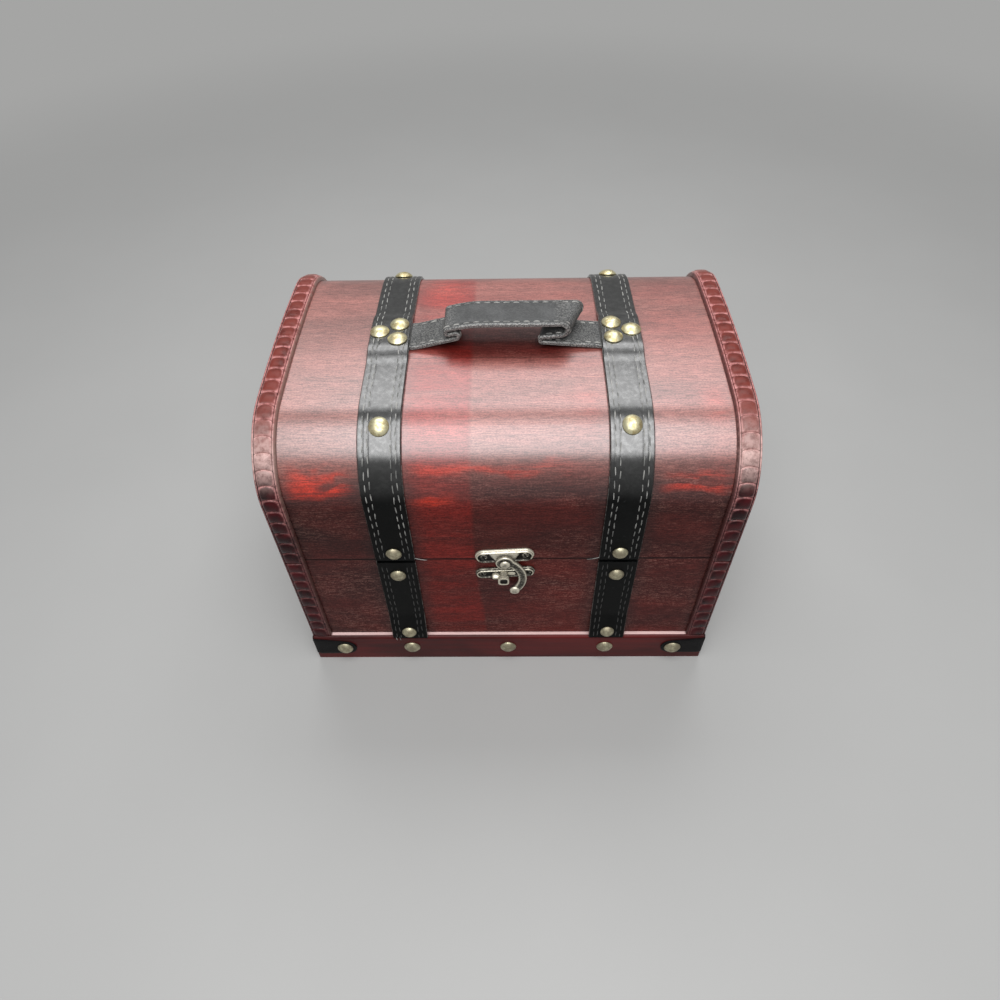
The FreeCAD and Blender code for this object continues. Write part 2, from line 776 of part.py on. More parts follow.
def latch_strike_plate():
    reach = strike_spacing / 2
    pan = latch_pan(latch_shift - reach, latch_shift + reach, strike_z, strike_ear_radius)
    shapes = [latch_slab(strike_z, strike_spacing, strike_ear_radius).cut(pan)]
    face_y = -wall_y - latch_plate_thickness
    rib_x = strike_rib_length / 2
    rib_z = strike_rib_height / 2
    shapes.append(box(point(latch_shift - rib_x, face_y - strike_rib_rise, strike_z - rib_z),
                      point(latch_shift + rib_x, -wall_y, strike_z + rib_z)))
    post_x = latch_shift + post_shift
    shapes.append(disc(post_x, strike_z, post_radius, -wall_y, latch_plate_thickness + post_length))
    head = point(post_x, face_y - post_length, strike_z)
    shapes.append(Part.makeCone(post_radius, post_head_radius, post_head_length, head, -Y_AXIS))
    return drilled(fused(shapes), screw_holes(strike_screws))


def build():
    nodes = {"base_floor": base_floor(), "lid_skin": lid_skin(), "carry_handle": carry_handle()}
    for face in (FRONT, BACK):
        nodes[f"base_{face_names[face]}_wall"] = base_wall(face)
        nodes[f"plinth_{face_names[face]}"] = plinth_front_back(face)
    for side in (LEFT, RIGHT):
        name = side_names[side]
        nodes[f"base_{name}_wall"] = base_end(side)
        nodes[f"plinth_{name}"] = plinth_side(side)
        nodes[f"lid_{name}_end"] = lid_end(side)
        nodes[f"lid_edging_{name}"] = lid_edging(side)
        nodes[f"lid_strap_{name}"] = lid_strap(side)
        nodes[f"hinge_base_leaf_{name}"] = hinge_leaf(side, -1)
        nodes[f"hinge_lid_leaf_{name}"] = hinge_leaf(side, 1)
        nodes[f"hinge_pin_{name}"] = hinge_pin(side)
        for face in (FRONT, BACK):
            corner = f"{face_names[face]}_{name}"
            nodes[f"plinth_corner_{corner}"] = plinth_corner(side, face)
            nodes[f"base_edging_{corner}"] = base_edging(side, face)
            nodes[f"base_strap_{corner}"] = base_strap(side, face)
    nodes["lid_strap_studs"] = studs(lid_straps)
    nodes["handle_studs"] = studs(handle_trios)
    nodes["base_strap_studs"] = studs(base_straps[FRONT] + base_straps[BACK])
    plinth_nails = plinth_faces[FRONT] + plinth_faces[BACK] + plinth_ends[LEFT] + plinth_ends[RIGHT]
    nodes["plinth_studs"] = studs(plinth_nails)
    nodes["hinge_base_screws"] = screws(hinge_screws[-1])
    nodes["hinge_lid_screws"] = screws(hinge_screws[1])
    nodes["latch_top_plate"] = latch_top_plate()
    nodes["latch_top_screws"] = screws(top_screws)
    nodes["latch_pivot_rivet"] = latch_pivot_rivet()
    nodes["latch_hook"] = latch_hook()
    nodes["latch_strike_plate"] = latch_strike_plate()
    nodes["latch_strike_screws"] = screws(strike_screws)
    return nodes


os.makedirs("parts", exist_ok=True)
for name, shape in build().items():
    print(name, len(shape.Solids), shape.isValid(), round(shape.Volume, 1))
    shape.exportStep(f"parts/{name}.step")
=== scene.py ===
import math
import random

import bmesh
import bpy
from mathutils import Matrix, Vector


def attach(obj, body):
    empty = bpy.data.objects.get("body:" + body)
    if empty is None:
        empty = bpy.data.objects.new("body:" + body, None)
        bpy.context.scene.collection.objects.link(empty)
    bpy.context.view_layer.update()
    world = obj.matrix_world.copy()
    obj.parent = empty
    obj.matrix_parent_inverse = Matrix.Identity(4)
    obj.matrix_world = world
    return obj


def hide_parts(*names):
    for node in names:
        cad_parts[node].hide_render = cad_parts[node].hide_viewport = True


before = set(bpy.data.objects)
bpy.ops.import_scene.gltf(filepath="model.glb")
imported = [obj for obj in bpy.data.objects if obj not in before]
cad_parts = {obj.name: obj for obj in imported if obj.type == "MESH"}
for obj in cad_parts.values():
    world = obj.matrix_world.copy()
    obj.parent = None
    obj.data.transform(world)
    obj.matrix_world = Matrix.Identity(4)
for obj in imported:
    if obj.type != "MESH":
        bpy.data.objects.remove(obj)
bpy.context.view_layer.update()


# Base boards: four stained boards and a floor, butt-jointed and glued into an open box.
# The grain runs level, the stain was rubbed on unevenly and darkened beside the straps,
# the outside is lacquered and the inside is left dull.

# Sizes are in millimetres, and places inside a finish in metres
MM = 0.001
half_width = 110.0
half_depth = 79.5
edging_rise = 3.5
shoulder_radius = 37.0
top_radius = 600.0
chest_height = 171.5
strap_x = 54.7
wall_x = half_width - edging_rise
wall_y = half_depth - edging_rise
shoulder_y = half_depth - shoulder_radius
crown_angle = math.asin(shoulder_y / (top_radius - shoulder_radius))
top_centre_z = chest_height - top_radius
shoulder_z = top_centre_z + (top_radius - shoulder_radius) * math.cos(crown_angle)


def colour(red, green, blue):
    screen = [channel / 255 for channel in (red, green, blue)]
    return tuple(c / 12.92 if c < 0.04 else ((c + 0.055) / 1.055) ** 2.4 for c in screen) + (1.0,)


brown_stain = colour(56, 19, 18)
red_brown_stain = colour(87, 27, 23)
veneer_red = colour(118, 26, 20)
flame_red = colour(198, 44, 18)
burnt_brown = colour(48, 25, 24)
sheen_brown = colour(184, 118, 108)
sheen_red = colour(196, 66, 58)
pore_filler = colour(140, 104, 94)
seam_shadow = colour(20, 11, 10)
joint_shadow = colour(22, 10, 10)
bare_dark = colour(40, 22, 17)
bare_pale = colour(76, 46, 35)


def fill(tree, node, inputs):
    for socket, value in inputs.items():
        if isinstance(value, bpy.types.NodeSocket):
            tree.links.new(value, node.inputs[socket])
        else:
            node.inputs[socket].default_value = value


def add_node(tree, kind, inputs, **settings):
    node = tree.nodes.new(kind)
    for name, value in settings.items():
        setattr(node, name, value)
    fill(tree, node, inputs)
    return node


def calc(tree, operation, first, second=0.0):
    return add_node(tree, "ShaderNodeMath", {0: first, 1: second}, operation=operation).outputs[0]


def times(tree, first, *others):
    for other in others:
        first = calc(tree, "MULTIPLY", first, other)
    return first


def most(tree, first, *others):
    for other in others:
        first = calc(tree, "MAXIMUM", first, other)
    return first


def past(tree, value, limit):
    # How far a place lies past a limit in millimetres that holds on both sides, in metres
    return calc(tree, "SUBTRACT", calc(tree, "ABSOLUTE", value), limit * MM)


def split(tree, place):
    return tuple(add_node(tree, "ShaderNodeSeparateXYZ", {0: place}).outputs)


def fade(tree, value, low, high, start=0.0, end=1.0):
    inputs = {0: value, 1: low, 2: high, 3: start, 4: end}
    return add_node(tree, "ShaderNodeMapRange", inputs, interpolation_type="SMOOTHSTEP").outputs[0]


def lessened(tree, share, least):
    # One where the share is none, down to the least where it is whole
    return fade(tree, share, 0.0, 1.0, 1.0, least)


def window(tree, value, low, high, soft):
    return times(tree, fade(tree, value, low - soft, low + soft), fade(tree, value, high + soft, high - soft))


def blend_colours(tree, share, first, second, how="MIX"):
    inputs = {0: share, 6: first, 7: second}
    return add_node(tree, "ShaderNodeMix", inputs, data_type="RGBA", blend_type=how).outputs[2]


def darken(tree, tone, *shades):
    return blend_colours(tree, 1.0, tone, times(tree, *shades), "MULTIPLY")


def cloud(tree, place, scale, detail=2.0, roughness=0.5, warp=0.0):
    inputs = {"Vector": place, "Scale": scale, "Detail": detail, "Roughness": roughness, "Distortion": warp}
    return add_node(tree, "ShaderNodeTexNoise", inputs).outputs[0]


def streaked(tree, place, scales, detail, roughness, warp=0.0):
    # A cloud with its own scale along x, y and z
    drawn = add_node(tree, "ShaderNodeVectorMath", {0: place, 1: scales}, operation="MULTIPLY").outputs[0]
    return cloud(tree, drawn, 1.0, detail, roughness, warp)


def open_group(name, outputs):
    tree = bpy.data.node_groups.new(name, "ShaderNodeTree")
    tree.interface.new_socket("Place", in_out="INPUT", socket_type="NodeSocketVector")
    for socket in outputs:
        tree.interface.new_socket(socket, in_out="OUTPUT", socket_type="NodeSocketFloat")
    place = tree.nodes.new("NodeGroupInput").outputs["Place"]
    return tree, place, tree.nodes.new("NodeGroupOutput")


def place_group(tree, group, place):
    node = tree.nodes.new("ShaderNodeGroup")
    node.node_tree = group
    tree.links.new(place, node.inputs["Place"])
    return node.outputs


def new_finish(name):
    finish = bpy.data.materials.new(name)
    finish.use_nodes = True
    tree = finish.node_tree
    place = tree.nodes.new("ShaderNodeTexCoord").outputs["Object"]
    return finish, tree, tree.nodes["Principled BSDF"], place


def set_relief(tree, shader, height, strength, distance):
    inputs = {"Height": height, "Strength": strength, "Distance": distance}
    tree.links.new(add_node(tree, "ShaderNodeBump", inputs).outputs[0], shader.inputs["Normal"])


def grain_group():
    tree, place, result = open_group("wood_grain", ("Streaks", "Pores", "Patches", "Relief"))
    streaks = streaked(tree, place, (14, 330, 330), 4.0, 0.6, 0.4)
    dashes = streaked(tree, place, (190, 2300, 2300), 3.0, 0.65)
    specks = streaked(tree, place, (1200, 2400, 2400), 2.0, 0.6)
    pores = calc(tree, "ADD", times(tree, dashes, 0.55), times(tree, specks, 0.45))
    patches = streaked(tree, place, (13, 34, 34), 3.0, 0.55, 0.5)
    relief = calc(tree, "ADD", times(tree, streaks, 0.4), pores)
    fill(tree, result, {"Streaks": streaks, "Pores": pores, "Patches": patches, "Relief": relief})
    return tree


wood_grain = grain_group()


def arch_depth(tree, x, y, z):
    # How far a place lies outside the boards' outer faces, below zero inside, in metres
    across = past(tree, y, shoulder_y)
    above = calc(tree, "SUBTRACT", z, shoulder_z * MM)
    squares = [calc(tree, "POWER", most(tree, side, 0.0), 2.0) for side in (across, above)]
    outside = calc(tree, "SQRT", calc(tree, "ADD", *squares))
    beyond = calc(tree, "ADD", outside, calc(tree, "MINIMUM", most(tree, across, above), 0.0))
    beyond = calc(tree, "SUBTRACT", beyond, (shoulder_radius - edging_rise) * MM)
    return most(tree, beyond, past(tree, x, wall_x))


def red_veneer(tree, place, x, y, z):
    # A redder length of veneer left of the middle, with a clean edge on its right
    edge_x = calc(tree, "SUBTRACT", x, fade(tree, z, 0.090, 0.020, 0.0, 0.0035))
    rubbed_in = streaked(tree, place, (11, 75, 75), 4.0, 0.6, 0.4)
    return times(tree, fade(tree, x, -0.054, -0.040), fade(tree, edge_x, -0.0140, -0.0172, 0.22, 1.0),
                 fade(tree, rubbed_in, 0.32, 0.62, 0.35, 0.95), fade(tree, y, 0.030, 0.070, 1.0, 0.4))


def red_flames(tree, place, x, y, z):
    # Flames of bare red stain across the lid's front shoulder, with two patches above it on the right
    # and one behind the handle
    lick = streaked(tree, place, (26, 150, 460), 4.0, 0.65, 0.6)
    waver = streaked(tree, place, (40, 55, 55), 3.0, 0.6)
    height = calc(tree, "ADD", z, fade(tree, waver, 0.3, 0.7, -0.003, 0.003))
    fork = times(tree, window(tree, height, 0.1422, 0.1462, 0.0014), fade(tree, x, -0.090, -0.078))
    level = times(tree, window(tree, height, 0.1382, 0.1490, 0.0024), lessened(tree, fork, 0.15))
    left_panel = window(tree, x, -0.096, -0.070, 0.008)
    right_panel = times(tree, window(tree, x, 0.070, 0.100, 0.008), 0.7)
    panels = times(tree, level, most(tree, left_panel, right_panel))
    low_middle = times(tree, window(tree, height, 0.1322, 0.1372, 0.0020),
                       window(tree, x, -0.041, -0.026, 0.008))
    high_middle = times(tree, window(tree, height, 0.1480, 0.1530, 0.0020),
                        window(tree, x, -0.044, 0.026, 0.010), fade(tree, x, -0.020, 0.026, 0.65, 0.38))
    shoulder = times(tree, most(tree, panels, low_middle, high_middle), fade(tree, y, -0.040, -0.060))
    right_x = most(tree, window(tree, x, 0.032, 0.043, 0.006), window(tree, x, 0.087, 0.098, 0.005))
    right_patches = times(tree, right_x, window(tree, y, -0.056, -0.040, 0.006),
                          fade(tree, z, 0.152, 0.158, 0.0, 0.45))
    behind = times(tree, window(tree, x, -0.038, -0.022, 0.009), window(tree, y, 0.026, 0.056, 0.012),
                   fade(tree, z, 0.155, 0.162, 0.0, 0.55))
    return times(tree, most(tree, shoulder, right_patches, behind), fade(tree, lick, 0.36, 0.57, 0.22, 1.0))


def burnt_shading(tree, grain, x):
    # Beside the straps and the edging
    from_strap = calc(tree, "ABSOLUTE", past(tree, x, strap_x))
    burnt = most(tree, fade(tree, from_strap, 0.019, 0.010, 0.0, 0.7),
                 fade(tree, calc(tree, "ABSOLUTE", x), 0.092, 0.101, 0.0, 0.6))
    return times(tree, burnt, fade(tree, grain["Streaks"], 0.2, 0.7, 0.5, 1.0))


def stained_board(name, along_depth):
    finish, tree, shader, place = new_finish(name)
    x, y, z = split(tree, place)
    if along_depth:
        place = add_node(tree, "ShaderNodeCombineXYZ", {0: y, 1: x, 2: z}).outputs[0]
    grain = place_group(tree, wood_grain, place)
    red = red_veneer(tree, place, x, y, z)
    flame = red_flames(tree, place, x, y, z)
    stain = blend_colours(tree, fade(tree, grain["Patches"], 0.34, 0.66), brown_stain, red_brown_stain)
    stain = blend_colours(tree, red, stain, veneer_red)
    stain = blend_colours(tree, flame, stain, flame_red)
    stain = blend_colours(tree, burnt_shading(tree, grain, x), stain, burnt_brown)
    # Painted sheen: the stain is drawn paler over the shoulders and the top, where the lamps' sheen falls,
    # and less so in the painted shadow under the handle
    deep = fade(tree, most(tree, red, flame), 0.0, 0.8, 1.0, 0.25)
    # Painted shadow under the handle, which darkens the stain and thins the painted sheen and the lacquer
    # there
    handle_shadow = times(tree, window(tree, x, -0.032, 0.030, 0.010), window(tree, y, -0.017, 0.008, 0.007),
                    fade(tree, z, 0.150, 0.160))
    painted_sheen = times(tree, fade(tree, z, 0.139, 0.156), fade(tree, grain["Patches"], 0.30, 0.65, 0.32, 0.6),
                  lessened(tree, handle_shadow, 0.1), fade(tree, deep, 0.25, 1.0, 0.6, 1.0))
    sheen_tone = blend_colours(tree, red, sheen_brown, sheen_red)
    stain = blend_colours(tree, painted_sheen, stain, sheen_tone)
    # Pale filler shows in the open pores, more in some patches than in others
    scuffed = streaked(tree, place, (26, 60, 60), 3.0, 0.6)
    filled = times(tree, fade(tree, grain["Pores"], 0.50, 0.61, 0.0, 0.45),
                   fade(tree, scuffed, 0.38, 0.62, 0.15, 1.0), deep)
    stain = blend_colours(tree, filled, stain, pore_filler)
    # Painted shade: the lid's upright front is drawn darker, as it faces away from the lamps above
    upright = times(tree, window(tree, z, 0.094, 0.130, 0.006), fade(tree, y, -0.066, -0.074),
                    lessened(tree, red, 0.3))
    stain = darken(tree, stain, fade(tree, grain["Streaks"], 0.3, 0.72, 0.84, 1.10),
                   lessened(tree, handle_shadow, 0.62), fade(tree, grain["Pores"], 0.38, 0.62, 0.50, 1.35),
                   lessened(tree, upright, 0.64))
    # Painted shadow along the seam between the lid and the base
    seam_shade = times(tree, window(tree, z, 0.0903, 0.0916, 0.0005),
                 fade(tree, grain["Streaks"], 0.3, 0.6, 0.6, 0.95))
    stain = blend_colours(tree, seam_shade, stain, seam_shadow)
    # A hairline joint runs across the lid's top, just in front of the handle
    joint = times(tree, window(tree, y, -0.01685, -0.01650, 0.00012), window(tree, x, -0.046, 0.044, 0.004),
                  fade(tree, z, 0.150, 0.160, 0.0, 0.85))
    stain = blend_colours(tree, joint, stain, joint_shadow)
    inside = fade(tree, arch_depth(tree, x, y, z), -0.0010, -0.0016)
    bare = calc(tree, "ADD", times(tree, grain["Streaks"], 0.6), times(tree, grain["Pores"], 0.4))
    bare = blend_colours(tree, fade(tree, bare, 0.36, 0.64), bare_dark, bare_pale)
    # The lacquer was brushed on thickest over the lid and has worn thin on the upright faces
    lacquer = times(tree, fade(tree, z, 0.128, 0.150, 0.05, 1.0),
                    fade(tree, grain["Pores"], 0.30, 0.55, 0.8, 1.0), lessened(tree, inside, 0.0),
                    lessened(tree, handle_shadow, 0.12))
    gloss = most(tree, fade(tree, grain["Pores"], 0.3, 0.7, 0.46, 0.38), times(tree, inside, 0.8))
    fill(tree, shader, {"Base Color": blend_colours(tree, inside, stain, bare), "Roughness": gloss,
                        "Specular IOR Level": 0.13, "Coat Weight": lacquer, "Coat Roughness": 0.32,
                        "Coat IOR": 1.95})
    set_relief(tree, shader, grain["Relief"], 0.2, 0.0002)
    return finish


def dress(finish, *nodes):
    for node in nodes:
        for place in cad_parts[node].material_slots:
            place.material = finish


long_board = stained_board("long_board", False)
end_board = stained_board("end_board", True)
dress(long_board, "base_front_wall", "base_back_wall", "base_floor")
dress(end_board, "base_left_wall", "base_right_wall")


# Plinth: four rails with a rounded top edge, mitred at the corners and glued round the foot.
# The same stain as the boards, with a painted highlight along the ledge where the light from above catches
# it.
edging_width = 10.5
rail_dark = colour(62, 20, 20)
rail_red = colour(92, 27, 27)
ledge_highlight = colour(232, 200, 197)


def rail_finish():
    finish, tree, shader, place = new_finish("plinth_rail")
    grain = place_group(tree, wood_grain, place)
    x, y, z = split(tree, place)
    stain = blend_colours(tree, fade(tree, grain["Patches"], 0.35, 0.68), rail_dark, rail_red)
    stain = darken(tree, stain, fade(tree, grain["Streaks"], 0.3, 0.7, 0.7, 1.12))
    # Painted highlight on the ledge next to the boards, and none under the edging at the corners
    out = most(tree, past(tree, x, wall_x), past(tree, y, wall_y))
    corner = calc(tree, "MINIMUM", past(tree, x, half_width - edging_width),
                  past(tree, y, half_depth - edging_width))
    ledge_highlight_mask = times(tree, fade(tree, z, 0.0206, 0.0216), fade(tree, grain["Streaks"], 0.3, 0.6, 0.65, 1.0),
                  fade(tree, out, 0.0021, 0.0015), fade(tree, corner, -0.001, 0.0005, 1.0, 0.0))
    fill(tree, shader, {"Base Color": blend_colours(tree, ledge_highlight_mask, stain, ledge_highlight),
                        "Roughness": fade(tree, grain["Streaks"], 0.25, 0.75, 0.30, 0.44),
                        "Specular IOR Level": 0.15})
    set_relief(tree, shader, grain["Relief"], 0.25, 0.0002)
    return finish


dress(rail_finish(), "plinth_front", "plinth_back", "plinth_left", "plinth_right")


# Plinth corner caps: a strip of black leatherette folded round each corner, rounded at both
# ends and held there by a dome nail.
plinth_height = 22.0
cap_low_margin = 5.6
cap_high_margin = 0.9
cap_thickness = 0.6
cap_nail = 17.0
cap_nail_height = 12.0
cap_end_radius = 6.2
cap_bend = 1.0
cap_steps = 48
cap_tip_half = 0.02
glue_gap = 0.1
# Round the strip from its lower edge: (share of its height, lift off the rail)
cap_profile = ((0.0, 0.0), (0.0, 0.35), (0.02, 0.52), (0.08, cap_thickness), (0.3, 0.56), (0.5, 0.54),
               (0.7, 0.56), (0.92, cap_thickness), (0.98, 0.52), (1.0, 0.35), (1.0, 0.0), (0.5, 0.0))
rubbed_grey = colour(52, 52, 54)
raw_grey = colour(116, 115, 112)
FRONT = -1
BACK = 1
LEFT = -1
RIGHT = 1
face_names = {FRONT: "front", BACK: "back"}
side_names = {LEFT: "left", RIGHT: "right"}
corners = [(face, side, f"{face_names[face]}_{side_names[side]}") for face in (FRONT, BACK)
           for side in (LEFT, RIGHT)]


def wall_faces(first, size, rings):
    # Quads between rings of points that follow one another from the first point on
    faces = []
    for start in range(first, first + (rings - 1) * size, size):
        for step in range(size):
            after = (step + 1) % size
            faces.append((start + step, start + after, start + size + after, start + size + step))
    return faces


def add_skin(points, faces, rings):
    first = len(points)
    size = len(rings[0])
    points += [place for ring in rings for place in ring]
    faces += wall_faces(first, size, len(rings))
    faces.append(tuple(range(first, first + size)))
    faces.append(tuple(range(len(points) - size, len(points))))


def skin(rings):
    points, faces = [], []
    add_skin(points, faces, rings)
    return points, faces


def make_piece(name, points, faces, finish, body, slot, nodes=(), sharp=38.0):
    mesh = bpy.data.meshes.new(name)
    mesh.from_pydata([tuple(axis * MM for axis in place) for place in points], [], faces)
    shape = bmesh.new()
    shape.from_mesh(mesh)
    bmesh.ops.recalc_face_normals(shape, faces=shape.faces)
    shape.to_mesh(mesh)
    shape.free()
    mesh.materials.append(finish)
    mesh.shade_smooth()
    mesh.set_sharp_from_angle(angle=math.radians(sharp))
    piece = bpy.data.objects.new(name, mesh)
    bpy.context.scene.collection.objects.link(piece)
    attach(piece, body)
    if nodes:
        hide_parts(*nodes)
    return piece


def hide_group():
    tree, place, result = open_group("leather_grain", ("Tone", "Rub", "Relief"))
    cells = add_node(tree, "ShaderNodeTexVoronoi", {"Vector": place, "Scale": 1500.0}).outputs["Distance"]
    relief = calc(tree, "ADD", cells, cloud(tree, place, 900.0, 3.0))
    fill(tree, result, {"Tone": cloud(tree, place, 120.0, 3.0, 0.6),
                        "Rub": cloud(tree, place, 420.0, 4.0, 0.7), "Relief": relief})
    return tree


leather_grain = hide_group()


def black_leather(name, dark, pale, rough_low, rough_high, relief, strap_half=0.0):
    finish, tree, shader, place = new_finish(name)
    hide = place_group(tree, leather_grain, place)
    x, y, z = split(tree, place)
    tone = blend_colours(tree, fade(tree, hide["Tone"], 0.35, 0.7), dark, pale)
    tone = blend_colours(tree, fade(tree, hide["Rub"], 0.62, 0.74, 0.0, 0.5), tone, rubbed_grey)
    if strap_half:
        # The raw edge where a strap was cut
        across = calc(tree, "ABSOLUTE", past(tree, x, strap_x))
        raw = times(tree, fade(tree, across, (strap_half - 0.45) * MM, (strap_half - 0.1) * MM),
                    fade(tree, hide["Rub"], 0.42, 0.60, 0.1, 0.75))
        tone = blend_colours(tree, raw, tone, raw_grey)
    # Hands have polished the leather over the lid's shoulders and top
    polish = times(tree, fade(tree, z, 0.134, 0.152), fade(tree, hide["Rub"], 0.3, 0.6, 1.0, 0.7))
    rough = fade(tree, hide["Tone"], 0.3, 0.7, rough_low, rough_high)
    fill(tree, shader, {"Base Color": tone, "Roughness": rough, "Specular IOR Level": 0.08,
                        "Coat Weight": polish, "Coat Roughness": 0.22, "Coat IOR": 2.1})
    set_relief(tree, shader, hide["Relief"], relief, 0.0001)
    return finish


def cap_edges(run):
    run = abs(run)
    if run <= cap_nail:
        share = run / cap_nail
        high = plinth_height - cap_high_margin
        return (cap_low_margin + share * (cap_nail_height - cap_end_radius - cap_low_margin),
                high + share * (cap_nail_height + cap_end_radius - high))
    reach = math.sqrt(max(0.0, cap_end_radius ** 2 - (run - cap_nail) ** 2))
    return cap_nail_height - reach, cap_nail_height + reach


def cap_place(run, lift):
    # Run is measured round the corner, negative along the end face
    out = glue_gap + lift
    turn = cap_bend * math.pi / 4
    if run > turn:
        return half_width - cap_bend + turn - run, -half_depth - out
    if run < -turn:
        return half_width + out, -half_depth + cap_bend - turn - run
    angle = math.pi / 4 + run / cap_bend
    return (half_width - cap_bend + (cap_bend + out) * math.cos(angle),
            -half_depth + cap_bend - (cap_bend + out) * math.sin(angle))


def corner_cap(side, face):
    tip = cap_nail + cap_end_radius
    rings = []
    for step in range(cap_steps + 1):
        run = -tip * math.cos(math.pi * step / cap_steps)
        low, high = cap_edges(run)
        low -= cap_tip_half
        high += cap_tip_half
        ring = []
        for share, lift in cap_profile:
            x, y = cap_place(run, lift)
            ring.append((side * x, -face * y, low + (high - low) * share))
        rings.append(ring)
    return skin(rings)


cap_leather = black_leather("cap_leather", colour(12, 12, 13), colour(24, 23, 24), 0.42, 0.6, 0.5)
for face, side, corner in corners:
    make_piece(f"corner_cap_{corner}", *corner_cap(side, face), cap_leather, "base", "corner_leatherette",
               [f"plinth_corner_{corner}"])


# Base edging: a strip of embossed leatherette folded over each upright corner of the base and glued.
# A row of pillow beads runs between two plain rims, and the beads' slopes are pale from wear and a painted
# highlight.
seam_height = 91.0
seam_half = 0.2
base_top = seam_height - seam_half
bead_pitch = 7.75
bead_left = half_width - edging_width + 1.4
bead_right = half_width - 1.3
bead_steps = 12
bead_fractions = (0.0, 0.04, 0.1, 0.2, 0.35, 0.5, 0.65, 0.8, 0.9, 0.96)
bead_bow = 1.0
bow_end = 4.0
groove_inset = 1.3
bead_sharp = 50.0
hinge_y = wall_y + 2.2
hinge_slope_reach = 6.0
lid_stop_half_angle = 55.0
# Both rims: (distance from the strip's edge, inset, share of a bead's rise, crown)
inner_rim = ((0.0, 3.4, 0.0, 0.0), (0.05, 2.7, 0.0, 0.24), (0.25, 1.9, 0.0, 0.24), (0.6, 1.35, 0.0, 0.24),
             (1.0, 1.12, 0.0, 0.24), (1.3, 1.2, 0.0, 0.0))
outer_rim = ((1.05, 1.25, 0.0, 0.0), (0.75, 1.15, 0.0, 0.24), (0.4, 1.3, 0.06, 0.0), (0.12, 1.7, 0.0, 0.24),
             (0.0, 2.4, 0.0, 0.24), (0.0, 3.2, 0.0, 0.072), (0.0, 5.0, 0.0, 0.072), (0.0, 8.0, 0.0, 0.072),
             (0.0, 9.4, 0.0, 0.08), (0.1, 10.1, 0.0, 0.18), (0.5, 10.5, 0.0, 0.0), (3.0, 10.5, 0.0, 0.0),
             (3.4, 10.3, 0.0, 0.0), (3.4, 3.4, 0.0, 0.0))
bead_dark = colour(32, 6, 9)
bead_red = colour(66, 13, 18)
bead_top_tone = colour(118, 52, 44)
bead_worn_highlight = colour(198, 136, 134)
bead_shoulder_sheen = colour(212, 178, 172)
bead_groove_shade = colour(20, 7, 8)
cut_left_shaded = colour(82, 58, 53)
cut_left_lit = colour(126, 104, 94)
cut_right_shadow = colour(56, 28, 26)


def bead_finish():
    finish, tree, shader, place = new_finish("bead_leatherette")
    hide = place_group(tree, leather_grain, place)
    crown = add_node(tree, "ShaderNodeAttribute", {}, attribute_name="crown").outputs["Fac"]
    x, y, z = split(tree, place)
    stain = blend_colours(tree, fade(tree, hide["Tone"], 0.35, 0.68), bead_dark, bead_red)
    # Paler brown towards the lid's top
    paler_top = times(tree, fade(tree, z, 0.152, 0.166), fade(tree, hide["Tone"], 0.30, 0.60, 0.5, 0.9))
    stain = blend_colours(tree, paler_top, stain, bead_top_tone)
    # The beads' slopes are pale from wear and a painted highlight, stronger up the lid, and a painted sheen
    # lies over the shoulders
    slope = times(tree, fade(tree, crown, 0.04, 0.16), fade(tree, crown, 0.72, 0.30),
                  fade(tree, hide["Rub"], 0.36, 0.62, 0.2, 0.95), fade(tree, z, 0.11, 0.15, 0.26, 1.0))
    stain = blend_colours(tree, slope, stain, bead_worn_highlight)
    shoulder_sheen = times(tree, fade(tree, z, 0.139, 0.158), fade(tree, z, 0.171, 0.155),
                    fade(tree, hide["Rub"], 0.34, 0.60, 0.45, 0.92))
    stain = blend_colours(tree, shoulder_sheen, stain, bead_shoulder_sheen)
    # The strip's cut edge next to the boards carries painted light and shade: lit paler on the left, most of
    # all over the lid, and a dark painted shadow on the right
    cut_edge = times(tree, fade(tree, calc(tree, "ABSOLUTE", x), 0.1006, 0.0999, 0.0, 0.85),
                     fade(tree, hide["Rub"], 0.34, 0.56, 0.3, 1.0))
    cut_left = blend_colours(tree, fade(tree, z, 0.110, 0.150), cut_left_shaded, cut_left_lit)
    cut_tone = blend_colours(tree, fade(tree, x, -0.01, 0.01), cut_left, cut_right_shadow)
    stain = blend_colours(tree, cut_edge, stain, cut_tone)
    # Painted shade in the grooves between the beads and in the rims' creases
    stain = blend_colours(tree, fade(tree, crown, 0.06, 0.01, 0.0, 0.8), stain, bead_groove_shade)
    fill(tree, shader, {"Base Color": stain, "Roughness": fade(tree, hide["Tone"], 0.3, 0.7, 0.24, 0.42),
                        "Specular IOR Level": 0.16})
    set_relief(tree, shader, hide["Relief"], 0.35, 0.0001)
    return finish


def pillow(share):
    return max(0.0, 1.0 - abs(2 * share - 1) ** 3.0) ** 0.6


def bead_section():
    # Round the strip: (x, inset, share of a bead's rise, crown)
    inner_x = half_width - edging_width
    section = [(inner_x + aside, inset, rise, crown) for aside, inset, rise, crown in inner_rim]
    for step in range(bead_steps + 1):
        share = step / bead_steps
        section.append((bead_left + (bead_right - bead_left) * share, groove_inset, pillow(share), 0.0))
    section += [(half_width - aside, inset, rise, crown) for aside, inset, rise, crown in outer_rim]
    return section


def scallop(x, travel, length):
    # How far the ridges bow along the strip, dying out at its cut ends
    middle = (bead_left + bead_right) / 2
    across = min(1.0, abs(x - middle) / (bead_right - middle))
    return bead_bow * (1 - across ** 2) * min(1.0, travel / bow_end, (length - travel) / bow_end)


def clear_hinge(y, z):
    # Behind the hinge line the strips' ends slope apart, to clear each other when the lid is open
    slope = max(0.0, y - hinge_y) * math.tan(math.radians(lid_stop_half_angle))
    share = max(0.0, 1 - abs(z - seam_height) / hinge_slope_reach)
    return z + math.copysign(slope * share, z - seam_height)


def paint_points(piece, name, values):
    piece.data.attributes.new(name, "FLOAT", "POINT").data.foreach_set("value", values)


bead_leatherette = bead_finish()


